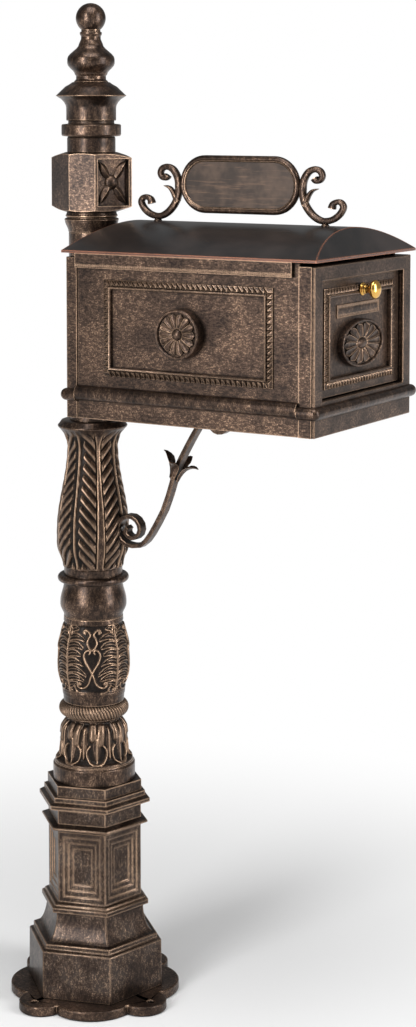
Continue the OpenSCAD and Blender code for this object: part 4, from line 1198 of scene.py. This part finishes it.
class MAILBOX_OT_block(MailboxOperator, bpy.types.Operator):
    """Block with two cut corners and four-leaved rosettes in its panels"""
    bl_idname = "mailbox.block"
    bl_label = "Rosette block"

    def build(self, look, relief):
        cast_piece("rosette_block", "bronze", round_edges=0.0018, segments=3)
        low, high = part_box("block_rosettes")
        leaf = blade(0.037, 0.0165, 0.0068, 10, 6,
                     lambda t: math.sin(math.pi * min(1.0, 0.10 + t * 0.90)) ** 0.8, ridge=0.9, edge=0.10)
        parts = []
        for side in (0, 180):
            four = repeated("ring", leaf, "bronze_bright", Count=4, Radius=0.0075, Seed=3)
            four.transform(BLOCK_LEAVES @ Matrix.Rotation(math.radians(45), 4, "Z"))
            place = (Matrix.Rotation(math.radians(BLOCK_YAW + side), 4, "Z")
                     @ Matrix.Translation((BLOCK_PANEL_SHIFT, -BLOCK_PANEL_DEEP, (low.z + high.z) / 2))
                     @ FACING["front"])
            parts.append(moved(joined("rosette", [dome(0.013, 0.013, 0.0085, 8, 36), four]), place))
        piece("block_rosettes_leaves", joined("block_rosettes", parts), "bronze_bright", ["block_rosettes"],
              smooth=50)


class MAILBOX_OT_box(MailboxOperator, bpy.types.Operator):
    """Walls, floor, frame and mouldings of the box"""
    bl_idname = "mailbox.box"
    bl_label = "Box"

    def build(self, look, relief):
        for node in ("left_side", "right_side", "rear_panel", "rear_posts", "front_frame", "box_floor"):
            cast_piece(node, "bronze", round_edges=0.0010)
        cast_piece("front_trim", "bronze", round_edges=0.0016, segments=3)
        cast_piece("side_mouldings", "bronze_turned", round_edges=0.0035, segments=4, smooth=28)
        cast_piece("corner_mouldings", "bronze_turned", round_edges=0.0012, smooth=28)
        low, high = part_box("leaf_frames")
        width, height = high.y - low.y, high.z - low.z
        parts = []
        for side in ("left", "right"):
            mesh = leaf_frame(width, height, FRAME_MEMBER, FRAME_PROUD, relief.leaf_pitch, 0.45)
            parts.append(moved(mesh, seat("leaf_frames", side, FRAME_PROUD)))
        piece("side_leaf_frames", joined("leaf_frames", parts), "bronze", ["leaf_frames"], smooth=40)
        low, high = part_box("side_medallions")
        radius = (high.z - low.z) / 2
        parts = []
        for side in ("left", "right"):
            mesh = rosette(radius, radius, MEDALLION_PROUD, relief.side_petals, 0.0055)
            parts.append(moved(mesh, seat("side_medallions", side, MEDALLION_PROUD)))
        piece("side_rosettes", joined("side_medallions", parts), "bronze_bright", ["side_medallions"],
              smooth=40)


class MAILBOX_OT_roof(MailboxOperator, bpy.types.Operator):
    """Barrel roof, its fascias with beaded edges, and its screws"""
    bl_idname = "mailbox.roof"
    bl_label = "Roof"

    def build(self, look, relief):
        cast_piece("roof_shell", "roof_metal", round_edges=0.0012, smooth=28)
        low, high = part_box("roof_fascias")
        run = high.y - low.y
        count = int(run / relief.bead_pitch)
        bead = dome(relief.bead_pitch * 0.46, 0.0017, 0.0013, 3, 8)
        parts = [casting("roof_fascias")]
        for side, x in (("left", low.x), ("right", high.x)):
            row = repeated("row", bead, "bronze", Count=count, Pitch=relief.bead_pitch, Unevenness=0.06,
                           Seed=9)
            row.transform(Matrix.Translation((-(count - 1) * relief.bead_pitch / 2, 0, 0)))
            place = Matrix.Translation((x, (low.y + high.y) / 2, low.z + 0.0042)) @ FACING[side]
            parts.append(moved(row, place))
        piece("roof_fascias_beaded", joined("fascias", parts), "bronze", ["roof_fascias"], smooth=40)
        cast_piece("roof_screws", "plain_steel", STEEL_EDGE)


class MAILBOX_OT_door(MailboxOperator, bpy.types.Operator):
    """Door with its leaf frame, medallion, blank tablet and knob"""
    bl_idname = "mailbox.door"
    bl_label = "Door"

    def build(self, look, relief):
        cast_piece("door_panel", "bronze", round_edges=0.0010, body=DOOR)
        width, proud, height = extent("door_leaf_frame")
        self.hang("door_leaves", leaf_frame(width, height, FRAME_MEMBER, proud, relief.leaf_pitch),
                  "bronze", "door_leaf_frame", smooth=40)
        width, proud, height = extent("door_medallion")
        self.hang("door_rosette", rosette(width / 2, height / 2, proud, relief.door_petals, 0.0048),
                  "bronze_bright", "door_medallion", smooth=40)
        self.hang("door_blank_tablet", self.tablet(), "bronze", "door_tablet", smooth=40)
        self.hang("knob_rose_turned", self.knob_rose(), "knob_brass", "knob_rose", smooth=50)
        self.hang("knob_turned", self.knob(), "knob_brass", "knob", smooth=50)
        for node in ("knob_screw", "catch_strike"):
            cast_piece(node, "plain_steel", STEEL_EDGE, body=DOOR)

    def hang(self, name, mesh, material, node, smooth):
        """Puts a piece on the door, with its back where its node's back is."""
        mesh = moved(mesh, seat(node, "front", extent(node).y))
        piece(name, mesh, material, [node], DOOR, smooth=smooth)

    def tablet(self):
        """A moulded rim around a blank plate that is slightly crowned."""
        width, thick, height = extent("door_tablet")
        line, inward = rectangle(width, height)
        rim = 0.0048
        section = [(0, 0), (0, thick * 0.6), (0.0007, thick), (0.0022, thick), (0.0030, thick * 0.55),
                   (rim, thick * 0.50), (rim, 0)]
        moulding = swept("tablet", line, inward, section)
        inner_w, inner_h = width - 2 * rim, height - 2 * rim
        plate = blade(inner_h, inner_w, thick * 0.62, 4, 12, lambda t: 1.0, ridge=0.2, edge=0.9)
        plate.transform(Matrix.Translation((0, -inner_h / 2, 0)))
        return joined("tablet", [moulding, plate])

    def knob_rose(self):
        """A stepped round rose."""
        size_of = extent("knob_rose") / MM
        r = size_of.x / 2
        return turned("knob_rose", [(r, 0), (r, 1.4), (r - 1.2, 2.2), (r - 2.6, 2.6), (r - 3.2, 3.6),
                                    (r - 4.4, size_of.y)], 2.6, 64, 0.6)

    def knob(self):
        """A flattened ball on a waisted neck."""
        size_of = extent("knob") / MM
        r, tall = size_of.x / 2 * 1.1, size_of.y
        head = 17.5
        face = tall - head
        outline = [(8, 0), (8, 1.2), (7.0, 2.4), (6.4, face - 3), (6.8, face)]
        for degrees in range(42, 175, 7):
            a = math.radians(degrees)
            outline.append((r * math.sin(a), tall - head / 2 - head / 2 * math.cos(a)))
        outline.append((0.15, tall))
        return turned("knob", outline, 0.1, 72, 0.5)


class MAILBOX_OT_fixings(MailboxOperator, bpy.types.Operator):
    """Tie rod, pins, catch, saddles and bolts"""
    bl_idname = "mailbox.fixings"
    bl_label = "Fixings"

    def build(self, look, relief):
        for node in ("tie_rod", "tie_rod_nuts", "hinge_pins", "saddle_bolts", "bracket_screws",
                     "plaque_screws", "flag_pivot"):
            cast_piece(node, "plain_steel", STEEL_EDGE)
        cast_piece("catch_magnet", "catch_black", round_edges=0.0008)
        cast_piece("post_saddles", "bronze", round_edges=0.002, segments=3)


class MAILBOX_OT_flag(MailboxOperator, bpy.types.Operator):
    """Signal flag on the right side"""
    bl_idname = "mailbox.flag"
    bl_label = "Flag"

    def build(self, look, relief):
        cast_piece("flag_arm", "flag_paint", round_edges=0.0009, segments=3, body=FLAG)


class MAILBOX_OT_bracket(MailboxOperator, bpy.types.Operator):
    """Scrolled strap under the box, with its leaf collar"""
    bl_idname = "mailbox.bracket"
    bl_label = "Scroll bracket"

    def build(self, look, relief):
        cast_piece("scroll_bracket", "bronze_turned", round_edges=0.0022, segments=3, smooth=40)
        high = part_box("bracket_leaf")[1]
        heart = Vector((0, high.y - CALYX_BACK, high.z - CALYX_DOWN))
        parts = [sepal(turn, wide) for turn, wide in ((0, 0.019), (90, 0.016), (180, 0.019), (270, 0.016))]
        calyx = joined("calyx", parts)
        calyx.transform(Matrix.Translation(heart) @ Matrix.Rotation(math.radians(CALYX_TILT), 4, "X"))
        piece("bracket_calyx", calyx, "bronze_bright", ["bracket_leaf"], smooth=50)


class MAILBOX_OT_plaque(MailboxOperator, bpy.types.Operator):
    """Blank address plaque on the ridge, between two scrolls"""
    bl_idname = "mailbox.plaque"
    bl_label = "Plaque"

    def build(self, look, relief):
        low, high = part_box("plaque_rim")
        line, inward = stadium(high.y - low.y, high.z - low.z)
        t, w = (high.x - low.x) / 2, 0.011
        half = [(0.0, 0.0), (0.0, 0.35), (0.0012, 0.68), (0.0030, 0.90), (0.0052, 1.0), (0.0072, 0.96),
                (0.0084, 0.80), (0.0086, 0.66), (0.0102, 0.62), (w, 0.50), (w, 0.0)]
        section = [(d, -h * t) for d, h in reversed(half[1:-1])] + [(d, h * t) for d, h in half[1:-1]]
        rim = swept("rim", line, inward, section)
        rim = moved(rim, seat("plaque_rim", "left", t))
        piece("plaque_rim_moulded", rim, "bronze_turned", ["plaque_rim"], smooth=40)
        cast_piece("plaque_panel", "plaque_metal", round_edges=0.0)
        self.scrolls((low + high) / 2 / MM, (high.y - low.y) / 2 / MM + 4.9)

    def scrolls(self, centre, reach):
        """Two C-scrolls with balled ends, a horn leaf and a small foot each, reach away from the centre."""
        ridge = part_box("roof_shell")[1].z / MM
        drop = centre.z - ridge
        half = extent("plaque_scrolls").x / 2 / MM
        line = smooth_line([(reach + y, z) for y, z in UPPER_HOOK] +
                           [(reach + y, z - drop) for y, z in LOWER_HOOK], 5)
        horn = smooth_line([(reach + y, z - drop) for y, z in HORN], 4)
        parts = []
        for side in (1, -1):
            for way, size_at in (
                (line, lambda f: 4.0 + 2.0 * math.sin(math.pi * f) + 2.6 * ball_end(f)),
                (horn, lambda f: 4.6 * (1 - f) ** 0.7 + 0.5),
            ):
                placed = [(centre.y + side * y, centre.z + z) for y, z in way]
                parts.append(strap(placed, size_at, half))
            foot = turned("foot", [(7, 0), (7, 1.6), (5, 3.2), (4.6, 9.5)], 0.2, 40, 0.8)
            foot_y = centre.y + side * (reach + 43)
            foot.transform(Matrix.Translation((0, foot_y * MM, (ridge + 0.05) * MM)))
            parts.append(foot)
        piece("plaque_scrolls_forged", joined("scrolls", parts), "bronze_turned", ["plaque_scrolls"],
              smooth=60)


class MAILBOX_OT_stage(bpy.types.Operator):
    """Camera, pale floor and soft studio lights"""
    bl_idname = "mailbox.stage"
    bl_label = "Stage"
    bl_options = {"REGISTER", "UNDO"}

    def execute(self, context):
        stage = context.scene.mailbox_stage
        self.camera(context, stage)
        self.floor(context, stage)
        self.lights(context)
        return {"FINISHED"}

    def camera(self, context, stage):
        data = bpy.data.cameras.new("camera")
        data.lens = stage.lens
        data.sensor_width = 36
        data.shift_y = stage.shift
        data.clip_end = 200
        camera = bpy.data.objects.new("camera", data)
        pitch, yaw = stage.camera_pitch, stage.camera_yaw
        aim = Vector((math.cos(pitch) * math.cos(yaw), math.cos(pitch) * math.sin(yaw), -math.sin(pitch)))
        camera.rotation_euler = aim.to_track_quat("-Z", "Y").to_euler()
        camera.location = stage.camera_place
        context.scene.collection.objects.link(camera)
        context.scene.camera = camera
        context.scene.view_settings.view_transform = "Standard"

    def floor(self, context, stage):
        f = Finish("studio_floor")
        distance = f.node("ShaderNodeVectorMath", {"operation": "LENGTH"}, {0: f.place}, "Value")
        cloud = f.noise(3, 2, 0.5)
        far = distance.between(0.35, 1.6)
        matte = f.node("ShaderNodeBsdfPrincipled", {}, {
            "Base Color": f.mix(cloud * 0.06, stage.floor, (0.80, 0.80, 0.80)), "Roughness": 0.55,
            "Specular IOR Level": 0.2})
        glow = f.node("ShaderNodeEmission", {}, {"Color": (1, 1, 1), "Strength": 1.0})
        f.show(f.node("ShaderNodeMixShader", {}, {0: far, 1: matte, 2: glow}))
        line, _ = round_line(FLOOR_REACH, FLOOR_REACH, 64)
        points = [(0, 0, -FLOOR_DROP)] + [(x, y, -FLOOR_DROP) for x, y in line]
        mesh = mesh_of("floor", points, [(0, 1 + i, 1 + (i + 1) % len(line)) for i in range(len(line))])
        mesh.materials.append(f.material)
        floor = bpy.data.objects.new("studio_floor", mesh)
        context.scene.collection.objects.link(floor)

    def lights(self, context):
        world = bpy.data.worlds.new("studio")
        context.scene.world = world
        world.use_nodes = True
        tree = world.node_tree
        sky = tree.nodes["Background"]
        sky.inputs["Color"].default_value = (1, 1, 1, 1)
        seen = tree.nodes.new("ShaderNodeLightPath").outputs["Is Camera Ray"]
        strength = tree.nodes.new("ShaderNodeMapRange")
        strength.inputs["To Min"].default_value = 0.20
        strength.inputs["To Max"].default_value = 1.0
        tree.links.new(seen, strength.inputs["Value"])
        tree.links.new(strength.outputs[0], sky.inputs["Strength"])
        softboxes = (
            ("key", (-3.5, 0.25, 1.9), (0, -0.1, 1.0), 1.2, 3.2, 120),
            ("front", (0.3, -3.4, 1.9), (0, -0.2, 1.0), 1.0, 3.2, 105),
            ("top", (-0.8, -0.6, 4.0), (0, -0.2, 1.0), 2.0, 2.0, 70),
        )
        for name, place, target, wide, high, power in softboxes:
            data = bpy.data.lights.new(name, "AREA")
            data.shape = "RECTANGLE"
            data.size = wide
            data.size_y = high
            data.energy = power
            lamp = bpy.data.objects.new(name, data)
            lamp.location = place
            lamp.rotation_euler = (Vector(target) - Vector(place)).to_track_quat("-Z", "Y").to_euler()
            context.scene.collection.objects.link(lamp)


STEPS = (
    MAILBOX_OT_finishes, MAILBOX_OT_pedestal, MAILBOX_OT_column, MAILBOX_OT_block, MAILBOX_OT_box,
    MAILBOX_OT_roof, MAILBOX_OT_door, MAILBOX_OT_fixings, MAILBOX_OT_flag, MAILBOX_OT_bracket,
    MAILBOX_OT_plaque, MAILBOX_OT_stage,
)


class MAILBOX_PT_panel(bpy.types.Panel):
    """Lists the pieces in the order in which they are built"""
    bl_idname = "MAILBOX_PT_panel"
    bl_label = "Pedestal Mailbox"
    bl_space_type = "VIEW_3D"
    bl_region_type = "UI"
    bl_category = "Mailbox"

    def draw(self, context):
        for group_name in GROUPS:
            group = getattr(context.scene, group_name)
            box = self.layout.box()
            for key in group.__annotations__:
                box.prop(group, key)
        for operator in STEPS:
            self.layout.operator(operator.bl_idname)


GROUPS = {
    "mailbox_finish": MailboxFinish, "mailbox_relief": MailboxRelief, "mailbox_stage": MailboxStage,
}


def register():
    for cls in (*GROUPS.values(), *STEPS, MAILBOX_PT_panel):
        bpy.utils.register_class(cls)
    for name, cls in GROUPS.items():
        setattr(bpy.types.Scene, name, bpy.props.PointerProperty(type=cls))


def unregister():
    for name in GROUPS:
        delattr(bpy.types.Scene, name)
    for cls in reversed((*GROUPS.values(), *STEPS, MAILBOX_PT_panel)):
        bpy.utils.unregister_class(cls)


def main():
    register()
    for operator in STEPS:
        group, name = operator.bl_idname.split(".")
        getattr(getattr(bpy.ops, group), name)()


if __name__ == "__main__":
    main()
